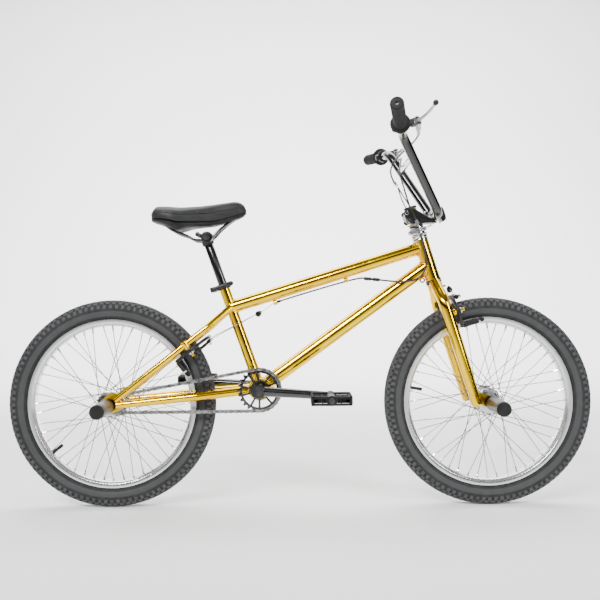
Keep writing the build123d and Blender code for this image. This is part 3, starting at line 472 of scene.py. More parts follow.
def tyre_finish(name, centre):
    """Dusty rubber with a smooth ring on the sidewall; the ring is painted a lighter grey as painted sheen,
    and the crown is painted paler as a painted highlight.
    """
    finish = Finish(name, specular_ior_level=0.25)
    reach = finish.radius_from(centre)
    ring = reach.between(0.213, 0.216) * (1 - reach.between(0.226, 0.229))
    dust = finish.noise(55.0, 5.0)
    fine = finish.noise(1400.0, 2.0)
    rubber = finish.mix(dust.between(0.3, 0.75), grey(0.018, -0.03), grey(0.03, -0.03))
    # Painted sheen: the smooth sidewall ring is painted a lighter grey.
    rubber = finish.mix(ring * 0.5, rubber, grey(0.07, -0.02))
    # Painted highlight: the crown of the casing is painted paler.
    finish.feed("Base Color", finish.mix(reach.between(0.247, 0.25) * 0.6, rubber, grey(0.075, -0.03)))
    finish.feed("Roughness", dust * 0.2 + 0.6 - ring * 0.12)
    threads = (reach * 4200.0).sine() * ring
    finish.bump(fine + threads * 0.25, 0.5, 0.00012)
    return finish.material


def rim_finish(name, centre):
    """Polished aluminium with fine turning lines."""
    finish = Finish(name, metallic=1.0)
    reach = finish.radius_from(centre)
    lines = finish.noise(1.0, 2.0, finish.node("ShaderNodeCombineXYZ", {}, {0: reach * 5200.0}))
    smear = finish.noise(40.0, 3.0)
    finish.feed("Base Color", finish.mix(smear, grey(0.72, -0.01), grey(0.9, -0.01)))
    finish.feed("Roughness", lines * 0.12 + 0.14 + smear * 0.08)
    finish.bump(lines, 0.3, 0.00005)
    return finish.material


def vinyl_finish():
    """Black vinyl with a pebbled leather grain."""
    finish = Finish("saddle_vinyl", specular_ior_level=0.45)
    pebble = finish.cells(620.0)
    wear = finish.noise(26.0, 4.0)
    finish.feed("Base Color", finish.mix(wear.between(0.35, 0.7), grey(0.006, -0.04), grey(0.012, -0.04)))
    finish.feed("Roughness", pebble * 0.25 + 0.34 + wear * 0.1)
    finish.bump(pebble, 0.55, 0.00025)
    return finish.material


GOLD = gold_finish()
GLOSS_BLACK = worn("gloss_black", grey(0.004), grey(0.009), 0.1, 0.18, coat_weight=0.8, coat_roughness=0.04)
SATIN_BLACK = worn("satin_black", grey(0.008), grey(0.016), 0.28, 0.4, metallic=0.3)
MOULDED_BLACK = worn("moulded_black", grey(0.006), grey(0.012), 0.45, 0.6, grain=1600.0, depth=0.00012,
                      specular_ior_level=0.25)
RUBBER_BLACK = worn("grip_rubber", grey(0.008), grey(0.015), 0.55, 0.72, grain=1300.0, depth=0.00015,
                     specular_ior_level=0.25)
# Knob rubber: the casing's rubber painted paler, a painted highlight that makes the knobs stand out from the
# darker casing between them.
KNOB_RUBBER_PAINTED_HIGHLIGHT = worn("knob_rubber_painted_highlight", grey(0.048, -0.03), grey(0.07, -0.03), 0.6, 0.75, grain=1400.0,
                    depth=0.00012, specular_ior_level=0.25)
HOUSING_BLACK = worn("cable_housing", grey(0.01), grey(0.018), 0.28, 0.38)
CHROME = worn("bright_chrome", grey(0.7), grey(0.8), 0.05, 0.12, metallic=1.0)
BAR_CHROME = worn("bright_bar", grey(0.62), grey(0.75), 0.16, 0.26, metallic=1.0)
ALLOY = worn("cast_alloy", grey(0.5), grey(0.66), 0.26, 0.4, metallic=1.0)
GREY_ALLOY = worn("grey_alloy", grey(0.22), grey(0.34), 0.3, 0.42, metallic=0.9)
STEEL = worn("spoke_steel", grey(0.12), grey(0.22), 0.25, 0.38, metallic=1.0)
CHAIN_STEEL = worn("chain_steel", grey(0.16, 0.02), grey(0.4, 0.01), 0.24, 0.4, scale=140.0, metallic=1.0)
BLACK_STEEL = worn("black_steel", grey(0.05), grey(0.1), 0.3, 0.42, metallic=0.9)
HUB_ALLOY = worn("hub_alloy", grey(0.55), grey(0.7), 0.18, 0.3, metallic=1.0)
VINYL = vinyl_finish()


# --- wheels ---------------------------------------------------------------------------------
SPOKES = 48
TYRE_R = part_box("front_tyre")[1].z / MM - FRONT_AXLE[2]
TYRE_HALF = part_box("front_tyre")[1].y / MM
CASING_R = TYRE_R - 2.6
BEAD_R = 205.5
RIM_EDGE_R = 207.5
SPOKE_END_R = 190.0
KNOB_PITCHES = 100
SPOKE_R = 0.95
FLANGE_R = 29.5
CROSSING = 10


def casing_profile(count):
    """Tyre's outer line as (y, radius), from one bead over the tread to the other."""
    half = [(13.6, BEAD_R), (14.6, 208.5), (21.2, 214.5), (TYRE_HALF - 0.6, 226.0),
            (23.4, 237.0), (18.4, 245.6), (10.0, 250.1), (0.0, CASING_R)]
    left = [(-y, r) for y, r in half]
    return curve(left + half[-2::-1], count)


def build_tyre(name, body, centre):
    """Casing turned about the axle, with rows of knobs whose tops follow the casing's curve."""
    shape = Shape()
    outer = casing_profile(61)
    inner = np.stack([outer[::-1, 0] * 0.84, outer[::-1, 1] - 2.4], -1)
    shape.turned(np.vstack([outer, inner]), centre, LEFT, 192, loop=True)
    for y, r in ((-20.6, 213.9), (20.6, 213.9), (-24.1, 231.6), (24.1, 231.6)):
        angle = TURN * np.arange(160) / 160
        path = centre + np.stack([r * np.cos(angle), np.full(160, y), r * np.sin(angle)], -1)
        shape.sweep(path, 0.7, sides=6, loop=True)
    fine = casing_profile(601)
    rows = [(0.0, 2.6, 0.32, 0.0, 2.5), (6.6, 2.6, 0.30, 0.5, 2.5), (-6.6, 2.6, 0.30, 0.5, 2.5),
            (13.0, 2.8, 0.31, 0.0, 2.6), (-13.0, 2.8, 0.31, 0.0, 2.6),
            (19.6, 3.4, 0.34, 0.5, 2.6), (-19.6, 3.4, 0.34, 0.5, 2.6),
            (28.6, 4.8, 0.27, 0.0, 2.0), (-28.6, 4.8, 0.27, 0.0, 2.0)]
    steps = np.linalg.norm(np.diff(fine, axis=0), axis=1)
    along = np.concatenate([[0], np.cumsum(steps)])
    along = along - along[-1] / 2
    knobs = Shape()
    for middle, half, share, phase, height in rows:
        knob_row(knobs, centre, fine, along, middle, half, share, phase, height)
    shape.make(name + "_tyre_casing", body, TYRE_RUBBER[name], "tyre_rubber", name + "_tyre")
    # The knobs take the rubber painted paler as a painted highlight.
    knobs.make(name + "_tyre_knobs", body, KNOB_RUBBER_PAINTED_HIGHLIGHT, "tyre_rubber")


def knob_row(shape, centre, profile, along, middle, half, share, phase, height):
    """One ring of knobs: each is a block from under the casing to a smaller top above it."""
    slope = np.gradient(profile, along, axis=0)
    outward = np.stack([-slope[:, 1], slope[:, 0]], -1)
    outward = outward * np.sign(np.sum(outward * (profile - (0, 228)), axis=1))[:, None]
    pitch = TURN / KNOB_PITCHES
    angle = pitch * (np.arange(KNOB_PITCHES) + phase)
    corners = []
    for level, shrink in ((-0.8, 1.0), (height * 0.72, 0.93), (height, 0.78)):
        for across, around in ((-1, -1), (1, -1), (1, 1), (-1, 1)):
            at = middle + across * half * shrink
            y, r = (np.interp(at, along, profile[:, i] + outward[:, i] * level) for i in (0, 1))
            turn = angle + around * share * pitch * shrink
            corners.append(centre + np.stack([r * np.cos(turn), np.full_like(turn, y), r * np.sin(turn)], -1))
    corners = np.stack(corners, 1)
    block = [(0, 3, 2, 1), (8, 9, 10, 11)]
    for low in (0, 4):
        block += [(low + i, low + (i + 1) % 4, low + 4 + (i + 1) % 4, low + 4 + i) for i in range(4)]
    faces = np.asarray(block)[None] + 12 * np.arange(KNOB_PITCHES)[:, None, None]
    shape.add(corners.reshape(-1, 3), faces.reshape(-1, 4))


def build_rim(name, body, centre, valve_way):
    """Double-wall rim turned about the axle: hooked edges, braking bands and a domed bed."""
    half = [(13.9, RIM_EDGE_R - 3.6), (14.2, RIM_EDGE_R - 0.6), (15.2, RIM_EDGE_R), (16.0, RIM_EDGE_R - 1),
            (16.0, 197.2), (15.6, 196.4), (14.6, 195.2), (11.2, 192.2), (7.0, 190.2), (0.0, SPOKE_END_R)]
    left = [(-y, r) for y, r in half]
    shape = Shape()
    shape.turned(left + half[-2::-1], centre, LEFT, 200, loop=True)
    shape.make(name + "_rim_wall", body, RIM_ALLOY[name], "polished_rim", name + "_rim")

    trim = Shape()
    trim.turned([(-2.2, 0), (-2.2, 4.6), (0.6, 4.6), (0.6, 0)],
                centre + valve_way * (SPOKE_END_R - 0.4), -valve_way, 20)
    stem = [(0, 2.6), (2, 3.9), (14, 3.6), (15, 4.1), (26, 4.1), (27.5, 3.4), (28, 0)]
    trim.turned(stem, centre + valve_way * SPOKE_END_R, -valve_way, 20)
    trim.make(name + "_valve", body, RUBBER_BLACK, "tube_rubber", name + "_inner_tube")


def build_spokes(name, body, centre, flange_y):
    """Each spoke's head sits on its flange, bends through it and runs to a nipple in the rim."""
    wires = Shape()
    nipples = Shape()
    per_flange = SPOKES // 2
    for side in (-1, 1):
        for index in range(per_flange):
            start = TURN * (index + (0.5 if side > 0 else 0)) / per_flange
            lean = 1 if index % 2 else -1
            end = start + lean * TURN * CROSSING / SPOKES
            at_flange = centre + FLANGE_R * np.array((math.cos(start), 0, math.sin(start)))
            at_rim = centre + SPOKE_END_R * np.array((math.cos(end), 0, math.sin(end)))
            outer = at_flange + LEFT * side * (flange_y + lean * 2.6)
            head = at_flange + LEFT * side * (flange_y - lean * 2.8)
            rim_end = at_rim + LEFT * side * 3.0
            way = unit(rim_end - outer)
            elbow = outer + way * 1.6
            wires.sweep([head, outer - LEFT * side * lean * 0.8, elbow, rim_end - way * 12], SPOKE_R, sides=8)
            wires.turned([(0, 1.6), (0.8, 1.5), (1.2, 0.4)], head, -LEFT * side * lean, 8)
            nipple = [(0, SPOKE_R), (0.3, 1.9), (9, 2.1), (11, 2.9), (13.5, 2.9)]
            nipples.turned(nipple, rim_end - way * 12, way, 8)
    wires.make(name + "_spoke_wires", body, STEEL, "spoke_steel", name + "_spokes")
    nipples.make(name + "_nipples", body, CHROME, "spoke_steel")


def build_hub(name, body, centre, half, flange_y):
    """Turned shell with two flanges, a waisted barrel and the bearing faces."""
    side = [(half - 2.4, 9), (half - 2.4, 12.5), (half - 5, 14.5), (flange_y + 4.2, 15.5),
            (flange_y + 2.2, 17.5), (flange_y + 1.7, 33.0), (flange_y + 0.9, 34.0),
            (flange_y - 0.9, 34.0), (flange_y - 1.7, 33.0), (flange_y - 2.4, 21.0),
            (flange_y - 5, 17.5), (flange_y - 9, 15.4), (0, 14.4)]
    shape = Shape()
    shape.turned([(-y, r) for y, r in side] + side[-2::-1], centre, LEFT, 64)
    shape.make(name + "_hub_shell", body, HUB_ALLOY, "hub_alloy", name + "_hub")
    seals = Shape()
    for way in (LEFT, RIGHT):
        seals.turned([(0, 7.3), (0, 10.5), (1.2, 10.5), (1.6, 9.8), (1.6, 7.3)],
                     centre + way * (half - 2.3), way, 40, loop=True)
    seals.make(name + "_hub_seals", body, RUBBER_BLACK, "hub_alloy")


def build_peg(name, body, centre, start):
    """Peg tubes with a turned groove by each end, closed by rounded black end caps."""
    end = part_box(name + "_pegs")[1].y / MM
    tubes = Shape()
    caps = Shape()
    for way in (LEFT, RIGHT):
        base = centre + way * start
        length = end - start
        wall = [(0, 9.5), (0, 15.8), (1, 17), (8, 17), (8.6, 16.3), (10, 16.3), (10.6, 17)]
        wall += [(length - 16, 17), (length - 15.4, 16.3), (length - 14, 16.3), (length - 13.4, 17),
                 (length - 6.2, 17), (length - 5.4, 16.2), (length - 5.4, 9.5)]
        tubes.turned(wall, base, way, 64, loop=True)
        cap = [(length - 5.3, 0), (length - 5.3, 16.6), (length - 4.6, 17), (length - 2, 17),
               (length - 0.9, 16.4), (length - 0.2, 15), (length, 13), (length - 0.5, 8), (length - 0.6, 0)]
        caps.turned(cap, base, way, 64)
    tubes.make(name + "_peg_tubes", body, BLACK_STEEL, "peg_alloy", name + "_pegs")
    caps.make(name + "_peg_caps", body, MOULDED_BLACK, "peg_alloy")


def build_axle(name, body, centre, plate_y):
    """Threaded axle with its nuts and washers outside the dropouts."""
    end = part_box(name + "_axle")[1].y / MM
    shape = Shape()
    thread = [(0, 0)]
    thread += [(y, 7.0 if step % 2 else 6.5) for step, y in enumerate(np.arange(0.2, 24.0, 0.7))]
    thread.append((end, 7.0))
    washer = [(0, 7.2), (0, 12.4), (1.6, 12.4), (1.6, 7.2)]
    for way in (LEFT, RIGHT):
        shape.turned([(end - y, r) for y, r in thread], centre, way, 24)
        shape.turned(washer, centre + way * plate_y, way, 40, loop=True)
        shape.nut(centre + way * (plate_y + 1.6), way, 19, 9.4)
    shape.make(name + "_axle_and_nuts", body, BLACK_STEEL, "axle_steel", name + "_axle")


def wheel(name, body, centre, half_hub, flange_y, valve_angle):
    """Every piece that turns on one axle."""
    angle = math.radians(valve_angle)
    valve_way = np.array((math.cos(angle), 0, math.sin(angle)))
    build_tyre(name, body, centre)
    build_rim(name, body, centre, valve_way)
    build_spokes(name, body, centre, flange_y)
    build_hub(name, body, centre, half_hub, flange_y)


TYRE_RUBBER = {"front": tyre_finish("front_tyre_rubber", FRONT_AXLE),
               "rear": tyre_finish("rear_tyre_rubber", REAR_AXLE)}
RIM_ALLOY = {"front": rim_finish("front_rim_alloy", FRONT_AXLE),
             "rear": rim_finish("rear_rim_alloy", REAR_AXLE)}
wheel("front", "front_wheel", FRONT_AXLE, 50, 30, 170)
wheel("rear", "rear_wheel", REAR_AXLE, 55, 24, 219)
build_axle("front", "steering", FRONT_AXLE, 56)
build_axle("rear", "frame", REAR_AXLE, 61)
build_peg("front", "steering", FRONT_AXLE, 67.5)
build_peg("rear", "frame", REAR_AXLE, 72.5)


# --- frame ----------------------------------------------------------------------------------
HEAD_BOTTOM, HEAD_TOP, HEAD_R = 325, 426, 18.2
TOP_TUBE_R, DOWN_TUBE_R, SEAT_TUBE_R = 15.9, 17.45, 13.2
CHAIN_STAY_R, SEAT_STAY_R = 11.1, 8.6
SEAT_TUBE_LENGTH = 274
BB_SHELL_R, BB_HALF = 27, 34
TOP_SEAT_END = post(212, 0, 0)
TOP_HEAD_END = steer(0, 0, 407.8)
DOWN_HEAD_END = steer(0, 0, 362)
STAY_DROPOUT_Y = 58
WELD_R = 2.0


def weld(shape, start, end, radius, onto, onto_way, onto_radius):
    """Rippled bead where a tube from start to end meets a round tube.

    Every line along the first tube's skin is run forward until it meets the second tube.
    """
    count = 150
    way = unit(end - start)
    across = unit(np.cross(way, LEFT)) if abs(way[1]) < 0.9 else unit(np.cross(way, (0, 0, 1)))
    third = np.cross(way, across)
    angle = TURN * np.arange(count)[:, None] / count
    skin = start + radius * (across * np.cos(angle) + third * np.sin(angle))
    onto_way = unit(onto_way)
    offset = skin - onto
    offset = offset - onto_way * (offset @ onto_way)[:, None]
    run = way - onto_way * way.dot(onto_way)
    a = run.dot(run)
    b = offset @ run
    c = np.sum(offset ** 2, axis=1) - onto_radius ** 2
    distance = (-b - np.sqrt(np.maximum(b * b - a * c, 0))) / a
    path = skin + way * distance[:, None]
    ripple = WELD_R * (1 + 0.13 * np.sin(np.arange(count) * TURN * 0.24))
    shape.sweep(path, ripple, sides=10, loop=True)


def rod(shape, start, end, radius, end_radius=None, sides=56):
    """Straight tube that may taper."""
    length = np.linalg.norm(np.asarray(end) - start)
    end_radius = radius if end_radius is None else end_radius
    return shape.turned([(0, radius), (length, end_radius)], start, np.asarray(end) - start, sides)


def build_frame():
    """Round tubes welded into two triangles, with plates for the axle and the brake."""
    tubes = {"head_tube": (steer(0, 0, HEAD_BOTTOM), steer(0, 0, HEAD_TOP), HEAD_R),
             "top_tube": (TOP_SEAT_END, TOP_HEAD_END, TOP_TUBE_R),
             "down_tube": (BB, DOWN_HEAD_END, DOWN_TUBE_R)}
    for name, (start, end, radius) in tubes.items():
        rod(Shape(), start, end, radius, sides=96).make(name + "_skin", "frame", GOLD, "gold_plate", name)
    seat = Shape()
    wall = [(0, SEAT_TUBE_R), (SEAT_TUBE_LENGTH, SEAT_TUBE_R), (SEAT_TUBE_LENGTH, 11.2), (200, 11.2)]
    seat.turned(wall, BB, post.ways[0], 96)
    seat.make("seat_tube_skin", "frame", GOLD, "gold_plate", "seat_tube")
    shell = Shape()
    wall = [(-BB_HALF, 22.5), (-BB_HALF, 26), (1 - BB_HALF, 27),
            (BB_HALF - 1, 27), (BB_HALF, 26), (BB_HALF, 22.5)]
    shell.turned(wall, BB, LEFT, 96, loop=True)
    shell.make("bottom_bracket_skin", "frame", GOLD, "gold_plate", "bottom_bracket_shell")

    chain_stays = Shape()
    seat_stays = Shape()
    for side in (1, -1):
        root = BB + np.array((-18, 22 * side, -1.5))
        bend = np.array((-250, 44 * side, BB[2] - (BB[0] + 250) * 0.094))
        tip = REAR_AXLE + np.array((20, STAY_DROPOUT_Y * side, 2))
        path = bent([root, bend, tip], 130, 16)
        share = np.clip((bend[0] - path[:, 0]) / (bend[0] - tip[0]), 0, 1)
        radius = CHAIN_STAY_R - (CHAIN_STAY_R - 8.5) * share
        chain_stays.sweep(path, radius, side=(0, 0, 1), sides=56)
        root, bend = post(212, 10 * side, 0), stay(300, 42 * side, 0)
        path = bent([root, bend, stay(22, STAY_DROPOUT_Y * side, 0)], 60)
        seat_stays.sweep(path, SEAT_STAY_R, side=stay.ways[2], sides=56)
    chain_stays.make("chain_stay_tubes", "frame", GOLD, "gold_plate", "chain_stays")
    seat_stays.make("seat_stay_tubes", "frame", GOLD, "gold_plate", "seat_stays")
    build_frame_fittings()
    build_welds()


def build_frame_fittings():
    """Dropouts, bridges, brake studs, cable guides and the tab behind the head tube."""
    shape = Shape()
    for side in (1, -1):
        inner = REAR_AXLE + LEFT * (STAY_DROPOUT_Y * side - 3)
        for end, tip_r, grow in (((28, 2), 10.5, 0.0), ((12, 17), 15.5, 0.2)):
            outline = link_outline((0, 0), end, 19.5, tip_r, 20)
            shape.prism(outline, inner + LEFT * (6 + grow), (1, 0, 0), (0, 0, 1), 6 + 2 * grow, 0.8)
        stud = stay(235, 48 * side, 0)
        shape.turned([(-9, 5), (-9, 8.5), (10.5, 8.5), (12, 7.5), (12, 4), (33, 4), (33.5, 3.5)],
                     stud, stay.ways[2], 40)
    rod(shape, stay(277, -42, 0), stay(277, 42, 0), 7)
    low = BB + np.array((-62, 0, -62 * 0.094))
    rod(shape, low - LEFT * 30, low + LEFT * 30, 7)
    way = unit(TOP_HEAD_END - TOP_SEAT_END)
    under = np.array((way[2], 0, -way[0]))
    for along in (108, 291):
        centre = TOP_SEAT_END + way * along + under * (TOP_TUBE_R + 5)
        ring = [(-5, 3.2), (-5, 5.2), (-4.2, 6), (4.2, 6), (5, 5.2), (5, 3.2)]
        shape.turned(ring, centre, way, 32, loop=True)
    tab = steer(-HEAD_R - 8, 0, 331)
    shape.turned([(-5, 3.3), (-5, 6.2), (-4.2, 7), (4.2, 7), (5, 6.2), (5, 3.3)], tab, LEFT, 40, loop=True)
    shape.make("frame_plates_and_guides", "frame", GOLD, "gold_plate", "frame_fittings")


def build_welds():
    """Beads at every joint of the tubes."""
    beads = Shape()
    middle = (TOP_SEAT_END + TOP_HEAD_END) / 2
    weld(beads, middle, TOP_HEAD_END, TOP_TUBE_R, steer.origin, steer.ways[2], HEAD_R)
    weld(beads, middle, TOP_SEAT_END, TOP_TUBE_R, BB, post.ways[0], SEAT_TUBE_R)
    low = (BB + DOWN_HEAD_END) / 2
    weld(beads, low, DOWN_HEAD_END, DOWN_TUBE_R, steer.origin, steer.ways[2], HEAD_R)
    weld(beads, low, BB, DOWN_TUBE_R, BB, LEFT, BB_SHELL_R)
    weld(beads, post(120, 0, 0), BB, SEAT_TUBE_R, BB, LEFT, BB_SHELL_R)
    for side in (1, -1):
        start = np.array((-250, 44 * side, BB[2] - (BB[0] + 250) * 0.094))
        weld(beads, start, BB + np.array((-18, 22 * side, -1.5)), CHAIN_STAY_R, BB, LEFT, BB_SHELL_R)
    beads.make("weld_beads", "frame", GOLD, "gold_plate")


build_frame()


# --- chain and cranks -----------------------------------------------------------------------
CHAIN_LINE_Y = -42
LINKS = 74
SPROCKET_PITCH_R = 12.7 / 2 / math.sin(math.pi / 25)
COG_PITCH_R = 12.7 / 2 / math.sin(math.pi / 9)


def chain_path(count):
    """Evenly spaced pins round the two pitch circles and their outer tangents."""
    outline = link_outline((BB[0], BB[2]), (REAR_AXLE[0], REAR_AXLE[2]), SPROCKET_PITCH_R, COG_PITCH_R, 200)
    closed = np.vstack([outline, outline[:1]])
    along = np.concatenate([[0], np.cumsum(np.linalg.norm(np.diff(closed, axis=0), axis=1))])
    wrap = along[199] / 2
    place = (wrap + along[-1] * np.arange(count) / count) % along[-1]
    x, z = (np.interp(place, along, closed[:, i]) for i in (0, 1))
    return np.stack([x, np.full(count, CHAIN_LINE_Y), z], -1)


def build_chain():
    """Inner and outer links by turns, each with two waisted plates and its rollers."""
    pins = chain_path(LINKS)
    shape = Shape()
    for index, (pin, following) in enumerate(zip(pins, np.roll(pins, -1, 0))):
        way = unit(following - pin)
        up = np.cross(LEFT, way)
        reach = np.linalg.norm(following - pin)
        offset = 3.3 if index % 2 else 2.0
        end_angle = np.linspace(0.25 * TURN, 0.75 * TURN, 6)
        left_end = 4.3 * np.stack([np.cos(end_angle), np.sin(end_angle)], -1)
        right_end = (reach, 0) - left_end
        waist = np.array(((reach / 2, 3.2),))
        outline = np.vstack([left_end, -waist + (reach, 0), right_end, waist])
        for sign in (-1, 1):
            shape.prism(outline, pin + LEFT * (sign * offset - 0.6), way, up, 1.1)
        shape.turned([(-2.0, 3.8), (2.0, 3.8)], pin, LEFT, 10)
        shape.turned([(-4.9, 1.5), (-4.6, 1.9), (4.6, 1.9), (4.9, 1.5)], pin, LEFT, 8)
    shape.make("chain_links", "frame", CHAIN_STEEL, "chain_steel", "chain")


def build_crank_arm(shape, side):
    """Tubular arm between a round boss on the spindle and the pedal's eye."""
    y = -68 * side
    centre = BB + LEFT * y
    eye = centre + crank_way * 170 * side
    out = -LEFT * side
    boss = [(-12, 10), (-12, 16), (-11, 17), (10.5, 17), (12, 15.8), (12, 12.4),
            (10.5, 12), (10.5, 9.6), (11, 0)]
    shape.turned(boss, centre, out, 64)
    path = line(centre, eye, 24)
    share = np.linspace(0, 1, 24)
    shape.sweep(path, 13.0 - 2.6 * share, 12.2 - 2.4 * share, side=LEFT, power=2.2, sides=40)
    shape.turned([(-10, 7.2), (-10, 12), (-9, 13), (9, 13), (10, 12), (10, 7.2)], eye, out, 48, loop=True)
    return centre, eye, out


def build_cranks():
    """Both arms, the pinch and spindle bolts, and the bolts that drive the sprocket."""
    arms = Shape()
    bolts = Shape()
    for side in (1, -1):
        centre, eye, out = build_crank_arm(arms, side)
        bolts.bolt(centre + out * 10.6, out, 9.4, 3.8)
        bolts.turned([(9.5, 0), (9.5, 6.4), (10.6, 6.2), (10.9, 3.4), (9.9, 3.2), (9.8, 0)], eye, out, 24)
        along = crank_way * side
        up = np.cross(out, along)
        for sign in (-1, 1):
            bolts.bolt(centre + along * 4 + up * 15.5 * sign - out * 5, up * sign, 3.2, 2.6)
    arms.make("crank_arm_tubes", "cranks", GLOSS_BLACK, "gloss_black", "crank_arms")
    bolts.turned([(CHAIN_LINE_Y - 2, 5.2), (CHAIN_LINE_Y - 5, 5.2), (CHAIN_LINE_Y - 5.4, 4.6),
                  (CHAIN_LINE_Y - 5.4, 2.6), (CHAIN_LINE_Y - 3, 2.4), (CHAIN_LINE_Y - 3, 0)],
                 BB + crank_way * 26 + np.cross(LEFT, crank_way) * 8, LEFT, 24)
    bolts.make("crank_bolts", "cranks", BLACK_STEEL, "axle_steel")


def build_pedal(name, side):
    """Platform of two rails, cross webs and a finned barrel, studded with moulded grips."""
    centre = joint_point(name + "_pedal_spin")
    centre = np.array((centre[0], 0, centre[2]))
    y_in, y_out = 82.5, 174.5
    width = 95
    shape = Shape()
    out = -LEFT * side
    ahead = np.array((1.0, 0, 0))
    mid = centre + out * (y_in + y_out) / 2
    shield = np.array(((-13, 9.5), (-13.5, 0), (-9, -7.5), (0, -11.5), (9, -7.5), (13.5, 0), (13, 9.5)))
    shape.turned([(y_in, 7.3), (y_in, 12), (y_in + 4, 12.5), (y_in + 12, 10.5), (y_out - 12, 10.5),
                  (y_out - 4, 12), (y_out - 1, 11.5), (y_out - 1, 7.3)], centre, out, 40, loop=True)
    for sign in (-1, 1):
        rail = mid + ahead * sign * (width / 2 - 3.2)
        shape.slab(rail, LEFT, (0, 0, 1), (88, 19, 6), 1.4, 5)
        for tooth in range(8):
            at = rail + LEFT * (tooth - 3.5) * 10.6
            for up in (-1, 1):
                shape.turned([(-2, 2.9), (1.2, 2.6), (2.0, 1.8)], at + np.array((0, 0, up * 9.6)),
                             (0, 0, up), 10)
        brace = mid + ahead * sign * 21
        shape.slab(brace, LEFT, (0, 0, 1), (80, 12, 4), 0.8, 3)
        for y in (-24, 0, 24):
            shape.slab(mid + LEFT * y + ahead * sign * 27, ahead, (0, 0, 1), (36, 14, 4), 0.8, 2)
    for end in (y_in + 3.6, y_out - 3.6):
        face = centre + out * end
        for sign in (-1, 1):
            shape.slab(face + (0, 0, 8.2 * sign), ahead, (0, 0, 1), (width - 4, 5.6, 6), 1.2, 2.4)
            shape.slab(face + ahead * sign * (width / 2 - 5.5), ahead, (0, 0, 1), (6.5, 21, 6), 1.2, 2.6)
        shape.prism(shield, face - out * 3.4, ahead, (0, 0, 1), 6.8, 1.0)
    shape.make("pedal_body_" + name, name + "_pedal", MOULDED_BLACK, "pedal_black", "pedal_" + name)
    trim = Shape()
    trim.turned([(y_out - 0.8, 0), (y_out - 0.8, 7.2), (y_out, 7.2), (y_out + 0.5, 6.4), (y_out + 0.5, 0)],
                centre, out, 32)
    for sign in (-1, 1):
        for y in (-42, 42):
            for x in (-0.5, 0.5):
                trim.slab(mid + LEFT * y * 1.07 + ahead * (sign * 36 + x), LEFT, (0, 0, 1), (1.2, 7, 11), 0.3)
    trim.make("pedal_trim_" + name, name + "_pedal", MOULDED_BLACK, "pedal_black")


build_chain()
build_cranks()
build_pedal("right", 1)
build_pedal("left", -1)


def build_sprocket():
    """Toothed ring, hub disc and ten slim arms; the cog behind has its own teeth and boss."""
    shape = Shape()
    toothed_ring(shape, BB + LEFT * CHAIN_LINE_Y, SPROCKET_PITCH_R, 25, 41.5, 0.5)
    hub = [(-1.7, 9.6), (-1.7, 22), (-1.2, 22.6), (1.2, 22.6), (1.7, 22), (1.7, 9.6)]
    shape.turned(hub, BB + LEFT * CHAIN_LINE_Y, RIGHT, 64, loop=True)
    shape.turned([(1.6, 9.6), (1.6, 14.4), (2.4, 15), (13.6, 15), (13.6, 9.6)],
                 BB + LEFT * CHAIN_LINE_Y, RIGHT, 48, loop=True)
    for index in range(5):
        for angle in (72 * index + 75 - 21.5, 72 * index + 75 + 21.5):
            turn = math.radians(angle)
            way = np.array((math.cos(turn), 0, math.sin(turn)))
            across = np.cross(way, RIGHT)
            taper = np.array(((20.5, -2.4), (43, -2.8), (43, 2.8), (20.5, 2.4)))
            shape.prism(taper, BB + LEFT * (CHAIN_LINE_Y - 1.4), way, across, 2.8, 0.4)
    shape.make("sprocket_ring_and_arms", "cranks", GLOSS_BLACK, "gloss_black", "sprocket")
    cog = Shape()
    toothed_ring(cog, REAR_AXLE + LEFT * CHAIN_LINE_Y, COG_PITCH_R, 9, 8.0, 0.0)
    boss = [(-52, 7.4), (-52, 12), (-51, 13), (-32, 13), (-31, 12), (-31, 7.4)]
    cog.turned(boss, REAR_AXLE, LEFT, 48, loop=True)
    cog.make("cog_teeth_and_boss", "driver", CHAIN_STEEL, "chain_steel", "rear_cog")


def toothed_ring(shape, centre, pitch_r, teeth, inner_r, phase):
    """Flat ring whose outer radius falls to a rounded seat under each chain roller."""
    steps = 14
    count = teeth * steps
    angle = TURN * np.arange(count) / count
    swing = np.cos(teeth * angle + TURN * phase)
    outer = pitch_r - 0.35 + 3.3 * np.tanh(1.7 * swing)
    narrow = np.where(outer > pitch_r, 0.7, 1.5)
    cross = []
    for radius, y in ((np.full(count, inner_r), -1.5), (outer - 1.2, -1.5), (outer, -narrow),
                      (outer, narrow), (outer - 1.2, 1.5), (np.full(count, inner_r), 1.5)):
        y = np.broadcast_to(y, count)
        cross.append(centre + np.stack([radius * np.cos(angle), y, radius * np.sin(angle)], -1))
    shape.rings(np.stack(cross, 1), loop=True)


build_sprocket()


# --- fork, headset and cable rotor ----------------------------------------------------------
FORK_LEG_Y, FORK_LEG_R = 56, 14.2
STEERER_R = 14.3


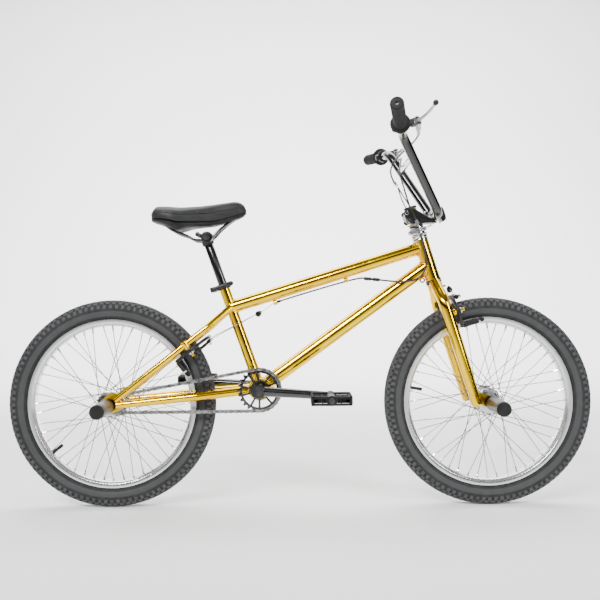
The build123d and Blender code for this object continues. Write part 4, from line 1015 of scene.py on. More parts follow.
def build_fork():
    """Steerer, crown race and two legs that bend together over the tyre to their dropouts."""
    shape = Shape()
    rod(shape, steer(0, 0, 300), steer(0, 0, 507), STEERER_R)
    race = [(0, 0), (0, 17.6), (1, 18.6), (11, 18.8), (12.5, 18.2), (12.5, 14)]
    shape.turned(race, steer(0, 0, 300), steer.ways[2], 64)
    for side in (1, -1):
        shoulder, foot = steer(0, FORK_LEG_Y * side, 266), steer(0, FORK_LEG_Y * side, 10)
        path = bent([steer(0, 10 * side, 316), shoulder, foot], 45, 18)
        path = np.vstack([path[:-1], line(path[-2], path[-1], 12)[1:]])
        down = np.clip(1 - (path - steer.origin) @ steer.ways[2] / 150, 0, 1)
        shape.sweep(path, FORK_LEG_R - 2.0 * down, side=steer.ways[0], sides=64)
        to_leg = steer(0, 0, 30) - FRONT_AXLE
        outline = link_outline((0, 0), (to_leg[0], to_leg[2]), 14.5, 12)
        base = FRONT_AXLE + LEFT * (56 if side > 0 else -50)
        shape.prism(outline, base, (1, 0, 0), (0, 0, 1), 6, 0.9)
        stud = steer(0, 48 * side, 235)
        profile = [(2, 5), (2, 8.6), (19.5, 8.6), (21, 7.6), (21, 4), (42, 4), (42.6, 3.4)]
        shape.turned(profile, stud, steer.ways[0], 40)
        rib = steer(0, FORK_LEG_Y * side, 9)
        shape.turned([(-7, 0), (-5, 8), (-2, 11.6), (0, 12.2), (3, 12.3)], rib, steer.ways[2], 48)
    shape.make("fork_tubes", "steering", GOLD, "gold_plate", "fork")
    beads = Shape()
    for side in (1, -1):
        angle = TURN * np.arange(90) / 90
        loop = [steer(15.2 * math.cos(a), 13 * side + 9 * math.sin(a), 309 - 3 * math.sin(a) * side)
                for a in angle]
        beads.sweep(loop, WELD_R * (1 + 0.12 * np.sin(np.arange(90) * 1.5)), sides=8, loop=True)
    beads.make("fork_weld_beads", "steering", GOLD, "gold_plate")


def build_headset():
    """Stepped cups pressed in the head tube, and the tab plate under the cable rotor."""
    up = steer.ways[2]
    cups = Shape()
    low = [(313.5, 15.9), (313.5, 18.5), (315, 19.8), (318, 20), (319, 19.2), (323, 19.4),
           (325, 20), (325, 15.9)]
    high = [(426, 16), (426, 20), (428, 20), (429, 19.2), (433, 19), (436, 20), (438, 19), (438, 16)]
    cups.turned(high, steer.origin, up, 72, loop=True)
    cups.prism(steer_disc(22, 13, 66), steer(0, 0, 438.2), steer.ways[0], LEFT, 2.8, 0.5)
    for side in (1, -1):
        cups.bolt(steer(0, 27 * side, 441), up, 2.6, 2.2)
    cups.make("headset_upper_cup", "frame", CHROME, "bright_chrome", "headset_cups")
    lower = Shape()
    lower.turned(low, steer.origin, up, 72, loop=True)
    lower.make("headset_lower_cup", "frame", SATIN_BLACK, "bright_chrome")


def steer_disc(radius, width, length, steps=40):
    """Outline of a disc with a straight ear on each side, to carry the cable ends."""
    start = math.asin(width / 2 / radius)
    right = np.linspace(-TURN / 4 + start, TURN / 4 - start, steps)
    left = right + TURN / 2
    outline = [radius * np.stack([np.cos(right), np.sin(right)], -1),
               np.array(((width / 2, length / 2 - 3), (width / 2 - 3, length / 2),
                         (3 - width / 2, length / 2), (-width / 2, length / 2 - 3))),
               radius * np.stack([np.cos(left), np.sin(left)], -1),
               np.array(((-width / 2, 3 - length / 2), (3 - width / 2, -length / 2),
                         (width / 2 - 3, -length / 2), (width / 2, 3 - length / 2)))]
    return np.vstack(outline)


def build_rotor():
    """Cable rotor: spacers and top plate on the steerer, and the two sliding rings."""
    up = steer.ways[2]
    top = Shape()
    spacer = [(441, 14.6), (441, 17), (442, 17.6), (445.6, 17.6), (446.4, 16.6), (456, 16.6), (457, 17.8),
              (464.5, 17.8), (466, 16.8), (466, 14.6)]
    top.turned(spacer, steer.origin, up, 64, loop=True)
    top.make("rotor_spacer", "steering", CHROME, "rotor_alloy", "gyro_top_plate")
    plate = Shape()
    plate.prism(steer_disc(21, 12, 70), steer(0, 0, 466), steer.ways[0], LEFT, 3, 0.5)
    for side in (1, -1):
        barrel = [(-5, 2.4), (-5, 4), (5, 4), (5.6, 3.2), (8, 3.2), (8, 2.4)]
        plate.turned(barrel, steer(0, 31 * side, 467.5), up, 20)
    plate.make("rotor_top_plate", "steering", GREY_ALLOY, "rotor_alloy")
    for name, low in (("lower", 446), ("upper", 451)):
        ring = Shape()
        section = [(0, 18.3), (0, 23.2), (0.8, 24), (3.2, 24), (4, 23.2), (4, 18.3)]
        section = [(low + height, radius) for height, radius in section]
        ring.turned(section, steer.origin, up, 72, loop=True)
        for side in (1, -1):
            ring.slab(steer(0, 27 * side, low + 2), steer.ways[0], LEFT, (11, 8, 3.4), 0.6, 2)
            ring.bolt(steer(0, 28 * side, low + (3.6 if name == "upper" else 0.4)),
                      up * (1 if name == "upper" else -1), 2.2, 1.2)
        ring.make("rotor_%s_ring" % name, "gyro_" + name, GREY_ALLOY, "rotor_alloy", "gyro_%s_ring" % name)


build_fork()
build_headset()
build_rotor()


# --- stem and bars --------------------------------------------------------------------------
STEM_UP, STEM_REACH, STEM_HALF, BAR_UP = 489, 54, 24, 471
BAR_R = 11.1
BAR_CENTRE = steer(STEM_REACH, 0, BAR_UP)
BAR_TOP = np.array((240.0, 131.0, 885.0))
BAR_END = np.array((203.0, 335.0, 907.0))
BAR_LOW = BAR_CENTRE + LEFT * 50
MIRROR = np.array((1.0, -1.0, 1.0))
GRIP_WAY = unit(BAR_END - BAR_TOP)
GRIP_IN = BAR_END - GRIP_WAY * 130
LEVER_CABLE = np.array((272.0, 168.0, 877.0))


def build_stem():
    """Forged block round the steerer and the bar, its faceplate and all their bolts."""
    shape = Shape()
    ahead, _, up = steer.ways
    body = link_outline((-3, STEM_UP), (STEM_REACH - 6, BAR_UP + 1), 19.5, 17, 16)
    body = body[body[:, 0] < STEM_REACH - 0.8]
    shape.prism(body, steer(0, STEM_HALF, 0), ahead, up, 2 * STEM_HALF, 2.2)
    shape.turned([(507, 0), (507, 15.6), (508, 16.4), (511, 16.4), (512.6, 15), (513, 5), (512, 4), (512, 0)],
                 steer.origin, up, 48)
    for up_at in (479, 499):
        for side in (1, -1):
            shape.turned([(0, 7), (2.4, 7), (3, 6.2), (3, 4)], steer(-16, (STEM_HALF - 0.6) * side, up_at),
                         LEFT * side, 24)
    shape.make("stem_body", "steering", SATIN_BLACK, "black_alloy", "stem")
    plate = Shape()
    outline = rounded(40, 38, 13) + (STEM_REACH, BAR_UP)
    outline = outline[outline[:, 0] > STEM_REACH + 0.8]
    plate.prism(outline, steer(0, STEM_HALF, 0), ahead, up, 2 * STEM_HALF, 1.8)
    plate.make("stem_front_cap", "steering", SATIN_BLACK, "black_alloy", "stem_faceplate")
    bolts = Shape()
    for y in (-17, 17):
        for rise in (-13.5, 13.5):
            bolts.bolt(steer(STEM_REACH + 15, y, BAR_UP + rise), ahead, 4.2, 4.6)
            way = -ahead * 0.3 + up * np.sign(rise)
            bolts.bolt(steer(STEM_REACH - 21, y, BAR_UP + rise * 1.25), way, 3.6, 3.4)
    for up_at in (479, 499):
        bolts.bolt(steer(-16, -STEM_HALF - 2.2, up_at), RIGHT, 4.6, 3.2)
        bolts.nut(steer(-16, STEM_HALF + 2.2, up_at), LEFT, 8, 3.0)
    bolts.make("stem_screws", "steering", CHROME, "bright_chrome", "stem_bolts")


def build_bars():
    """One long bent tube, the crossbar welded between its risers and rings of weld."""
    low = [BAR_END, BAR_TOP, BAR_LOW]
    path = [p * MIRROR for p in low] + low[::-1]
    shape = Shape()
    shape.sweep(bent(path, 38, 18), BAR_R, sides=56)
    shape.make("handlebar_tube", "steering", GLOSS_BLACK, "gloss_black", "handlebar")
    end = BAR_LOW + (BAR_TOP - BAR_LOW) * 0.729
    cross = Shape()
    rod(cross, end * MIRROR, end, 7.4)
    cross.make("crossbar_tube", "steering", BAR_CHROME, "bright_bar", "handlebar_crossbar")
    beads = Shape()
    for sign in (1, -1):
        mirror = np.array((1, sign, 1))
        weld(beads, end * (1, 0, 1), end * mirror, 7.4, BAR_LOW * mirror, (BAR_TOP - BAR_LOW) * mirror, BAR_R)
    beads.make("crossbar_weld_beads", "steering", GLOSS_BLACK, "gloss_black")
    marks = Shape()
    for y in np.linspace(-22, 22, 12):
        marks.turned([(-0.4, BAR_R - 0.2), (-0.4, BAR_R + 0.35), (0.4, BAR_R + 0.35), (0.4, BAR_R - 0.2)],
                     BAR_CENTRE + LEFT * y, LEFT, 40, loop=True)
    marks.make("bar_knurl", "steering", GLOSS_BLACK, "gloss_black")


def build_grips():
    """Ribbed sleeves with a flange inside and a rounded end with a centre hole."""
    shape = Shape()
    count = 26
    along = np.linspace(11, 124, count * 6 + 1)
    wave = 0.5 - 0.5 * np.cos(TURN * (along - 11) * count / (124 - 11))
    ribs = np.stack([along, 13.9 + 1.1 * wave ** 0.6], -1)
    flange = np.array(((0, 11.3), (0, 20.5), (0.8, 22.4), (2.2, 23), (4, 22.6), (5.4, 21), (6.2, 17),
                       (7.6, 14.8), (9.5, 14.2)))
    end = np.array(((126, 14.6), (129, 15.2), (131.5, 15), (133.2, 13.6), (134, 11), (134, 4.0),
                    (133.4, 3.4), (129, 3.2), (128.8, 0)))
    profile = np.vstack([flange, ribs, end])
    for mirror in (np.ones(3), MIRROR):
        shape.turned(profile, GRIP_IN * mirror, GRIP_WAY * mirror, 56)
    shape.make("grip_sleeves", "steering", RUBBER_BLACK, "grip_rubber", "grips")


def build_levers():
    """Lever clamps with their screws and adjusters, and the bent blades on their pivots."""
    clamps = Shape()
    trims = Shape()
    for side, mirror in (("left", np.ones(3)), ("right", MIRROR)):
        way = GRIP_WAY * mirror
        pivot = joint_point(side + "_lever_squeeze")
        axis = joint_axis(side + "_lever_squeeze")
        clamp_at = GRIP_IN * mirror - way * 20
        out = unit(pivot - clamp_at)
        ring = [(-7.2, 11.3), (-7.2, 14.4), (-6, 15.4), (6, 15.4), (7.2, 14.4), (7.2, 11.3)]
        clamps.turned(ring, clamp_at, way, 48, loop=True)
        clamps.slab(clamp_at - out * 16.5, out, way, (10, 12, 12), 1.4, 3)
        path = curve([clamp_at + out * 13, clamp_at + out * 22, clamp_at + out * 31], 12)
        arm_r = (7.2, 6.8, 6.4, 6.2, 6, 5.8, 5.8, 5.8, 5.8, 5.6, 5.4, 5)
        clamps.sweep(path, arm_r, side=way, power=3.0, sides=28)
        for sign in (1, -1):
            cheek = link_outline((-12, 0), (0, 0), 6.2, 7.4)
            base = pivot + axis * (4.4 if sign > 0 else -8.6)
            clamps.prism(cheek, base, out, np.cross(axis, out), 4.2, 0.6)
        down = axis * -np.sign(axis[2])
        barrel_start = pivot + down * 6
        barrel = LEVER_CABLE * mirror - barrel_start
        length = np.linalg.norm(barrel)
        trims.turned([(0, 5.4), (6, 5.4), (7, 6.2), (15, 6.2), (16, 4.6), (length - 1, 4.2), (length, 2.6)],
                     barrel_start, barrel, 28)
        trims.bolt(pivot + axis * 8.6, axis, 4.4, 2.6)
        trims.nut(pivot - axis * 8.6, -axis, 7.6, 3.0)
        trims.bolt(clamp_at - out * 16.5 + axis * 5.6, axis, 3.2, 2.8)
        build_blade(side, pivot, axis, out, way)
    clamps.make("lever_clamps", "steering", SATIN_BLACK, "black_alloy", "lever_brackets")
    trims.make("lever_trim", "steering", ALLOY, "black_alloy")


def build_blade(side, pivot, axis, out, way):
    """Flat blade that sweeps out and along in front of the grip to a rounded ball end."""
    shape = Shape()
    reach = ((6, -12), (0, 0), (15, 16), (28, 38), (38, 62), (43, 80))
    points = [pivot + out * ahead + way * beside for ahead, beside in reach]
    path = curve(points, 50)
    share = np.linspace(0, 1, 50)
    wide = np.interp(share, (0, 0.2, 0.4, 0.9, 1), (4.5, 6.4, 5.2, 4.2, 4.0))
    deep = np.interp(share, (0, 0.2, 0.4, 1), (3.4, 3.7, 2.8, 2.4))
    shape.sweep(path, deep, wide, side=axis, power=2.6, sides=28)
    shape.turned([(-4.2, 3.2), (4.2, 3.2)], pivot, axis, 20)
    shape.make("lever_blade_" + side, side + "_lever", ALLOY, "lever_alloy", "brake_lever_" + side)
    tip = Shape()
    end_way = unit(path[-1] - path[-4])
    ball = [(-6, 3.4), (-4.4, 4.9), (-1, 6.0), (3, 6.2), (6, 5.2), (8.2, 3.2), (9, 0)]
    tip.turned(ball, path[-1], end_way, 32)
    tip.make("lever_tip_" + side, side + "_lever", SATIN_BLACK, "lever_alloy")


build_stem()
build_bars()
build_grips()
build_levers()


# --- brakes ---------------------------------------------------------------------------------
def build_brake_arm(name, body, place, layer, side, rise, pad_up, pad_out):
    """Forged arm: one rounded bar from the pad, round the pivot and across to its anchor."""
    shape = Shape()
    out = unit(place(0, 0, 1) - place(0, 0, 0))
    up = unit(place(1, 0, 0) - place(0, 0, 0))
    middle = layer + 4
    anchor_up = 235 + rise
    points = [(pad_up, 34), (pad_up + 18, 42), (235, 48), (anchor_up - 21, 42), (anchor_up - 6, 28),
              (anchor_up + 1, 4), (anchor_up, -34)]
    path = curve([place(u, y * side, middle) for u, y in points], 60)
    share = np.linspace(0, 1, 60)
    wide = np.interp(share, (0, 0.33, 0.5, 0.7, 1), (6.5, 10, 8, 7, 5.6))
    shape.sweep(path, 3.9, wide, side=out, power=3.2, sides=32)
    collar = [(-4.4, 4.3), (-4.4, 9.6), (-3.4, 10.4), (3.6, 10.4), (4.6, 9.4), (4.6, 4.3)]
    shape.turned(collar, place(235, 48 * side, middle), out, 48, loop=True)
    holder_y = 34 * side
    holder = [(0, 5.2), (pad_out + 6, 5.2), (pad_out + 7, 4.4)]
    shape.turned(holder, place(pad_up, holder_y, layer + 7), out, 28)
    pad_centre = place(pad_up, 22.9 * side, layer + 8 + pad_out)
    shape.turned([(-7.5, 3.3), (6, 3.3)], pad_centre + LEFT * side * 8, LEFT * side, 20)
    shape.make(name + "_arm", body, SATIN_BLACK, "brake_black", name)

    pad = Shape()
    pad.slab(pad_centre + LEFT * side * 1.6, out, up, (46, 9, 3.2), 0.8, 4)
    for at in (-16.5, -5.5, 5.5, 16.5):
        pad.slab(pad_centre - LEFT * side * 1.8 + out * at, out, up, (9.6, 8.6, 4.6), 0.7, 1.6)
    pad.make(name + "_pad", body, RUBBER_BLACK, "brake_black")

    trim = Shape()
    trim.bolt(place(235, 48 * side, layer + 8.6), out, 7.0, 4.2)
    anchor = place(anchor_up, -34 * side, layer + 8)
    trim.nut(anchor, out, 9, 4.6)
    trim.bolt(anchor + out * 4.6, out, 3, 2.4)
    trim.nut(place(pad_up, 34 * side, layer + pad_out + 14), out, 9, 4)
    trim.make(name + "_trim", body, CHROME, "brake_black")

    spring = Shape()
    angle = np.linspace(0, 2.4 * TURN, 90)
    coil = [place(235 + 7.6 * math.cos(a), 48 * side + 7.6 * math.sin(a), layer - 5.2 + 0.55 * a / TURN * 2)
            for a in angle]
    leg = curve([coil[-1], place(222, 40 * side, layer - 3), place(212, 52 * side, layer - 4)], 12)
    spring.sweep(np.vstack([coil, leg[1:]]), 0.8, sides=8)
    spring.make(name + "_spring", body, STEEL, "brake_black")


def fork_place(up, y, out):
    """Fork's own order of distances, to match the stays'."""
    return steer(out, y, up)


def build_hanger(name, body, centre, pull, wires):
    """Pressed yoke with its clamp screw, and the straddle wire it lifts."""
    shape = Shape()
    pull = unit(pull)
    across = np.cross(LEFT, pull)
    outline = link_outline((-1.5, 0), (5, 0), 7.4, 4)
    shape.prism(outline, centre + LEFT * 2.6, pull, across, 5.2, 0.8)
    shape.bolt(centre - LEFT * 2.6, RIGHT, 3.6, 3.2)
    shape.nut(centre + LEFT * 2.6, LEFT, 7, 2.8)
    shape.make(name + "_yoke", body, SATIN_BLACK, "brake_black", name)
    wire = Shape()
    for start, end in wires:
        wire.sweep(line(start, end, 3), 1.0, sides=8)
    wire.make(name + "_wire", body, STEEL, "brake_black")


for layer, side, word in ((14, -1, "right"), (23, 1, "left")):
    build_brake_arm("rear_brake_arm_" + word, "rear_%s_arm" % word, stay, layer, side,
                    48, 192, 34 - layer)
    build_brake_arm("front_brake_arm_" + word, "front_%s_arm" % word, fork_place, layer + 9, side,
                    33, 196, 46 - layer)

REAR_HANGER = np.array((-101.0, 0, 472.0))
FRONT_HANGER = steer(32, 0, 289)
build_hanger("rear_cable_hanger", "rear_hanger", REAR_HANGER, joint_axis("rear_hanger_pull"),
             [(REAR_HANGER + (-6, 3.6 * s, -2), stay(289.6, 35 * s, layer + 5))
              for s, layer in ((1, 18), (-1, 22))])
build_hanger("front_cable_hanger", "front_hanger", FRONT_HANGER, joint_axis("front_hanger_pull"),
             [(FRONT_HANGER + (0, 3.6 * s, 0), steer(layer, 35 * s, 274.6))
              for s, layer in ((1, 27), (-1, 31))])


# --- saddle and seatpost --------------------------------------------------------------------
def build_seatpost():
    """Gloss tube with a plugged top."""
    shape = Shape()
    tube = [(175, 9.5), (175, 10.6), (176, 11.1), (391, 11.1), (392, 10.4), (392, 0)]
    shape.turned(tube, BB, post.ways[0], 64)
    shape.make("seatpost_tube", "saddle", GLOSS_BLACK, "gloss_black", "seatpost")


def saddle_station(x):
    """Top and bottom height, half width and crown of the saddle at distances along it."""
    top = np.interp(x, (-361, -357, -347, -320, -288, -240, -200, -158, -144, -134, -129),
                    (712, 726, 737, 736.5, 734, 737.5, 743, 749, 747, 739, 730))
    bottom = np.interp(x, (-361, -356, -339, -292, -242, -212, -181, -148, -136, -129),
                       (706, 703, 699, 689, 691, 693, 700, 711, 717, 724))
    half = np.interp(x, (-361, -357, -348, -330, -305, -275, -240, -205, -170, -145, -135, -129),
                     (20, 38, 52, 63, 67, 58, 42, 30, 24.5, 20, 14, 5))
    return top, bottom, half


def smoothed(values, width):
    """Values averaged with their neighbours, the ends held."""
    kernel = np.hanning(width + 2)[1:-1]
    padded = np.pad(values, width // 2, mode="edge")
    return np.convolve(padded, kernel / kernel.sum(), mode="valid")[:len(values)]


def build_saddle():
    """Padded cover lofted from nose to tail, its seams, the moulded base and the rails.

    Each cross section is a superellipse that is rounder above than below, dips along the
    middle, and swells a little between the seam and the lower edge.
    """
    count = 150
    bunch = 0.5 - 0.5 * np.cos(np.linspace(0, math.pi, count))
    x = -361 + (361 - 129) * bunch
    top, bottom, half = (smoothed(values, 13) for values in saddle_station(x))
    ends = np.minimum(1, np.sin(np.linspace(0, math.pi, count)) * 4) ** 0.5
    middle_z = bottom + (top - bottom) * 0.36
    angle = TURN * np.arange(88) / 88
    cos, sin = np.cos(angle), np.sin(angle)
    wide = np.sign(cos) * np.abs(cos) ** np.where(sin > 0, 0.8, 0.55)
    rise = np.sign(sin) * np.abs(sin) ** np.where(sin > 0, 0.78, 0.6)
    y = (half * ends)[:, None] * wide
    high = (top - middle_z)[:, None]
    low = (middle_z - bottom)[:, None]
    z = middle_z[:, None] + np.where(rise > 0, high, low) * rise * ends[:, None]
    share = np.abs(y) / np.maximum(half[:, None], 1)
    z -= 2.4 * np.exp(-(share / 0.22) ** 2) * (rise > 0) * rise * ends[:, None]
    groove = np.exp(-((rise - 0.28) / 0.05) ** 2) * (np.abs(cos) > 0.5)
    y *= 1 - 0.02 * groove
    wrinkle = 0.9 * np.exp(-((x[:, None] + 246) / 13) ** 2) * np.sin(x[:, None] * 0.9 + z * 0.35)
    y += np.sign(y) * wrinkle * (sin < 0.55) * (sin > -0.5)
    cover = Shape()
    cover.rings(np.stack([np.broadcast_to(x[:, None], y.shape), y, z], -1))
    piece = cover.make("saddle_cover_skin", "saddle", VINYL, "saddle_vinyl", "saddle_cover")

    seams = Shape()
    for sign in (1, -1):
        at = slice(8, count - 8)
        height = middle_z[at] + 0.28 * (top - middle_z)[at]
        edge = np.stack([x[at], sign * (half * ends)[at], height], -1)
        seams.sweep(edge, 0.75, sides=8)
    seams.make("saddle_piping", "saddle", VINYL, "saddle_vinyl")

    base = Shape()
    inner = slice(5, count - 4)
    drop = 9 + 9 * np.exp(-((x[inner] + 300) / 26) ** 2)
    low_z = bottom[inner] + 3
    rings = []
    for width, depth in ((0.97, 0), (0.97, 0.5), (0.86, 0.85), (0.5, 1.0)):
        rings.append(np.stack([x[inner], half[inner] * ends[inner] * width, low_z - drop * depth], -1))
    right = [ring * (1, -1, 1) for ring in rings[::-1]]
    base.rings(np.stack(rings + right, 1))
    base.make("saddle_base_shell", "saddle", MOULDED_BLACK, "base_plastic", "saddle_base")
    build_rails()


def build_rails():
    """Two steel rails looped under the base, and the ribbed clamp that grips them."""
    shape = Shape()
    for sign in (1, -1):
        points = [(-322, 46 * sign, 688), (-300, 43 * sign, 673), (-272, 36 * sign, 663),
                  (-256, 28 * sign, 654), (-236, 23 * sign, 653), (-212, 21 * sign, 660),
                  (-196, 18 * sign, 676), (-170, 11 * sign, 697), (-152, 8 * sign, 708)]
        shape.sweep(curve(points, 90), 3.5, sides=20)
    shape.make("saddle_rail_pair", "saddle", GLOSS_BLACK, "black_alloy", "saddle_rails")
    clamp = Shape()
    centre = np.array((-225.0, 0, 660.0))
    ribs = [(-28, 9), (-27, 14), (-19, 14.4), (-18, 12), (-17, 14.6), (-9, 14.6), (-8, 12.4), (8, 12.4),
            (9, 14.6), (17, 14.6), (18, 12), (19, 14.4), (27, 14), (28, 9)]
    clamp.turned(ribs, centre, LEFT, 48)
    sleeve = [(376, 11.2), (376, 14), (378, 15), (390, 15), (392, 14), (392, 11.2)]
    clamp.turned(sleeve, BB, post.ways[0], 48, loop=True)
    clamp.make("rail_clamp", "saddle", SATIN_BLACK, "black_alloy")
    bolts = Shape()
    for way in (LEFT, RIGHT):
        bolts.nut(centre + way * 28, way, 13, 6)
        bolts.turned([(0, 6), (8, 6), (8.6, 5.2)], centre + (-22, 0, 7) + way * 20, way, 24)
    bolts.make("rail_clamp_nuts", "saddle", BLACK_STEEL, "black_alloy")


def build_seat_clamp():
    """Split collar, its skewer and the quick-release lever with a ball end."""
    pivot = joint_point("seat_clamp_open")
    axis = post.ways[0]
    level = (pivot - BB) @ axis
    back = (pivot - BB) @ post.ways[2]
    collar = Shape()
    ring = [(-7, 13.3), (-7, 16.6), (-6, 17.6), (6, 17.6), (7, 16.6), (7, 13.3)]
    collar.turned(ring, BB + axis * level, axis, 64, loop=True)
    for y in (-6.8, 6.8):
        collar.slab(post(level, y, -24), axis, post.ways[2], (13, 14, 9), 1.2, 4)
    collar.turned([(-18, 0), (-18, 6), (-12, 6.4), (18, 6.4), (18, 3)], post(level, 0, back), LEFT, 28)
    collar.make("seat_collar", "frame", SATIN_BLACK, "black_alloy", "seat_clamp_collar")
    lever = Shape()
    lever.turned([(-6, 0), (-6, 6.4), (-5, 7.4), (5, 7.4), (6, 6.4), (6, 0)], pivot, axis, 40)
    points = [pivot + RIGHT * 4, post(level, -30, -10), post(level + 0.5, -31, 8), post(level, -30, 21)]
    path = curve(points, 30)
    lever.sweep(path, np.linspace(5.4, 4.0, 30), np.linspace(4.2, 3.0, 30), side=axis, power=2.6, sides=24)
    knob = [(-4, 3), (-2.5, 5), (1, 6), (4, 5), (6, 2.4), (6.6, 0)]
    lever.turned(knob, path[-1], unit(path[-1] - path[-4]), 28)
    lever.make("quick_release_lever", "seat_clamp", SATIN_BLACK, "black_alloy", "seat_clamp_lever")


build_seatpost()
build_saddle()
build_seat_clamp()


# --- cables ---------------------------------------------------------------------------------
def cable(name, body, slot, route, radius, material, *replaces):
    """Cable as one smooth curve whose control points are the route's."""
    data = bpy.data.curves.new(name, "CURVE")
    data.dimensions = "3D"
    data.bevel_depth = radius * MM
    data.bevel_resolution = 5
    data.resolution_u = 12
    data.use_fill_caps = True
    spline = data.splines.new("NURBS")
    spline.points.add(len(route) - 1)
    for point, place in zip(spline.points, route):
        point.co = (*(np.asarray(place, float) * MM), 1)
    spline.order_u = 3
    spline.use_endpoint_u = True
    data.materials.append(material)
    piece = bpy.data.objects.new(name, data)
    bpy.context.scene.collection.objects.link(piece)
    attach(piece, body)
    if replaces:
        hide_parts(*replaces)


def build_cables():
    """Housings along their clipped routes, with ferrules, adjuster and splitter."""
    way = unit(TOP_HEAD_END - TOP_SEAT_END)
    under = np.array((way[2], 0, -way[0])) * (TOP_TUBE_R + 5)
    stop = TOP_SEAT_END + way * 110 + under
    guide = TOP_SEAT_END + way * 313 + under
    rear_route = [stop, guide, (172, -4, 556), (204, -11, 552), (236, -22, 548), (266, -25, 548),
                  (293, -26, 556), (309, -27, 578), (308, -28, 612),
                  steer(-2, -28.5, 412), steer(0, -28.5, 437.8)]
    cable("rear_brake_housing", "frame", "cable_black", rear_route, 2.2, HOUSING_BLACK, "rear_brake_cable")
    wire_route = [REAR_HANGER + (4, 0, 2), stop - way * 6, stop]
    cable("rear_brake_wire", "frame", "cable_black", wire_route, 0.9, STEEL)
    fittings = Shape()
    adjuster = [(0, 2.6), (0, 3.6), (3, 4.2), (16, 4.2), (17, 3.2), (22, 3.2), (23, 4.4), (36, 4.4), (39, 3)]
    fittings.turned(adjuster, (160, -2.3, 556.7), (39, -7.5, -3.9), 28)
    fittings.turned([(0, 2.4), (0, 3.3), (14, 3.3), (15, 2.4)], stop - way * 3, way, 24)
    fittings.make("rear_cable_adjuster", "frame", MOULDED_BLACK, "cable_black")

    gyro_route = [(272, -168, 877), (273, -122, 875), (261, -66, 866), (247, -12, 857), (234, 24, 843),
                  (229, 30, 818), (237, 14, 797)]
    cable("upper_rotor_housing", "steering", "cable_black", gyro_route, 2.2, HOUSING_BLACK, "gyro_cable")
    for sign, word in ((1, "left"), (-1, "right")):
        branch = [(246, 1.8 * sign, 780), (253, 17 * sign, 762), (265, 29 * sign, 740), (278, 32 * sign, 716),
                  steer(0, 31 * sign, 469.1)]
        cable("rotor_branch_" + word, "steering", "cable_black", branch, 1.6, HOUSING_BLACK)
    splitter = Shape()
    splitter.turned([(0, 2.4), (1, 3.6), (15, 3.8), (17.5, 2.6)], (237, 14, 797), (8, -14, -15), 24)
    splitter.make("rotor_cable_splitter", "steering", CHROME, "cable_black")

    front_route = [(272, 168, 877), (271, 124, 874), (265, 82, 865), (257, 44, 846), (251, 14, 820),
                   steer(0, 0, 560), steer(0, 0, 330), steer(1, 0, 317), steer(8, 0, 304.5),
                   steer(24.5, 0, 300.2)]
    cable("front_brake_housing", "steering", "cable_black", front_route, 2.2, HOUSING_BLACK,
          "front_brake_cable")


build_cables()


# --- CAD nodes that keep their own shape ----------------------------------------------------
KEPT = {"frame_bearings": STEEL, "crank_spindle": BLACK_STEEL, "pedal_axles": BLACK_STEEL}
for node, material in KEPT.items():
    NODES[node].data.materials.clear()
    NODES[node].data.materials.append(material)


# --- stage, light and camera ----------------------------------------------------------------
def build_stage():
    """Pale floor that curves up into a backdrop: flat, then a quarter circle, then upright."""
    angle = np.linspace(0, math.pi / 2, 24)
    floor_y = np.concatenate([[-7000], 3000 + 2500 * np.sin(angle), [5500]])
    floor_z = np.concatenate([[0], 2500 * (1 - np.cos(angle)), [7000]])
    x = np.linspace(-9000, 9000, 2)
    grid = np.stack(np.broadcast_arrays(x[:, None], floor_y, floor_z), -1)
    mesh = bpy.data.meshes.new("floor")
    faces = grid_faces(2, len(floor_y), wrap_columns=False)
    mesh.from_pydata((grid.reshape(-1, 3) * MM).tolist(), [], faces.tolist())
    mesh.polygons.foreach_set("use_smooth", np.ones(len(mesh.polygons), bool))
    finish = Finish("pale_floor", roughness=0.9, specular_ior_level=0.1, emission_strength=0.12)
    cloud = finish.noise(1.3, 2.0)
    pale = finish.mix(cloud, grey(0.9), grey(0.93))
    finish.feed("Base Color", pale)
    finish.feed("Emission Color", pale)
    mesh.materials.append(finish.material)
    floor = bpy.data.objects.new("floor", mesh)
    bpy.context.scene.collection.objects.link(floor)


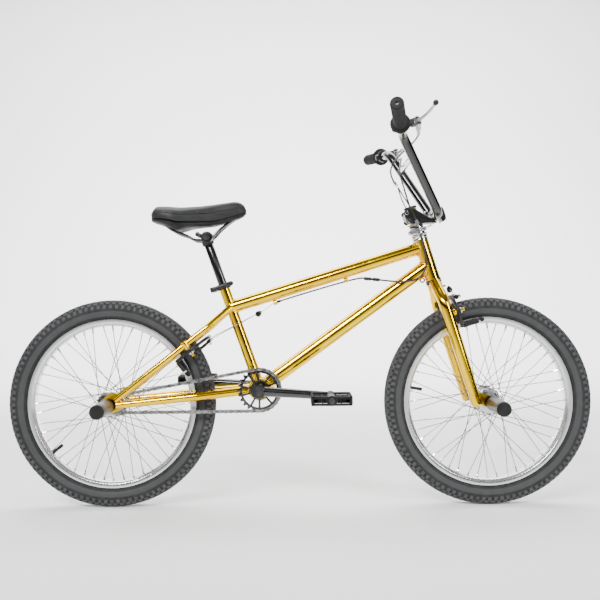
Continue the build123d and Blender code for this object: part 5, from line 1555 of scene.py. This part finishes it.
def area_light(name, place, target, size, power, spread):
    """Soft box at a place in metres, aimed at a target, its beam narrowed to the spread in degrees."""
    data = bpy.data.lights.new(name, "AREA")
    data.shape = "RECTANGLE"
    data.size, data.size_y = size
    data.energy = power
    data.spread = math.radians(spread)
    light = bpy.data.objects.new(name, data)
    light.location = place
    aim = Vector(target) - Vector(place)
    light.rotation_euler = aim.to_track_quat("-Z", "Y").to_euler()
    bpy.context.scene.collection.objects.link(light)


def build_world():
    """Room that is dark from eye level up, with one bright ring overhead and a grey ceiling."""
    world = bpy.data.worlds.new("room")
    world.use_nodes = True
    tree = world.node_tree
    background = tree.nodes["Background"]
    coordinates = tree.nodes.new("ShaderNodeTexCoord")
    split = tree.nodes.new("ShaderNodeSeparateXYZ")
    ramp = tree.nodes.new("ShaderNodeValToRGB")
    tree.links.new(coordinates.outputs["Generated"], split.inputs[0])
    tree.links.new(split.outputs[2], ramp.inputs[0])
    tree.links.new(ramp.outputs[0], background.inputs[0])
    stops = ramp.color_ramp.elements
    stops[0].position, stops[0].color = 0.0, grey(0.2)
    stops[1].position, stops[1].color = 1.0, grey(0.3)
    for position, value in ((0.04, 0.02), (0.3, 0.02), (0.38, 0.9), (0.55, 1.0), (0.66, 0.05)):
        stops.new(position).color = grey(value)
    background.inputs[1].default_value = 1.0
    bpy.context.scene.world = world


def build_camera():
    """Level camera square to the bike's right side, at the height of the top tube."""
    data = bpy.data.cameras.new("camera")
    data.lens = 48.6
    data.sensor_width = 36
    data.shift_x = 0.004
    camera = bpy.data.objects.new("camera", data)
    camera.location = (-0.0044, -2.0, 0.505)
    roll = math.radians(0.4295)
    camera.rotation_euler = (math.pi / 2, roll, 0)
    bpy.context.scene.collection.objects.link(camera)
    bpy.context.scene.camera = camera


build_stage()
build_world()
area_light("key", (-1.4, -2.6, 2.6), (0, 0, 0.5), (2.4, 0.5), 34, 70)
area_light("fill", (2.6, -2.2, 1.6), (0, 0, 0.5), (0.5, 2.0), 12, 70)
area_light("top", (0.0, 1.5, 3.2), (0, 1.5, 0), (5.0, 2.0), 170, 150)
area_light("backdrop", (0, 2.4, 3.6), (0, 5.2, 0.9), (7.0, 1.2), 420, 130)
build_camera()
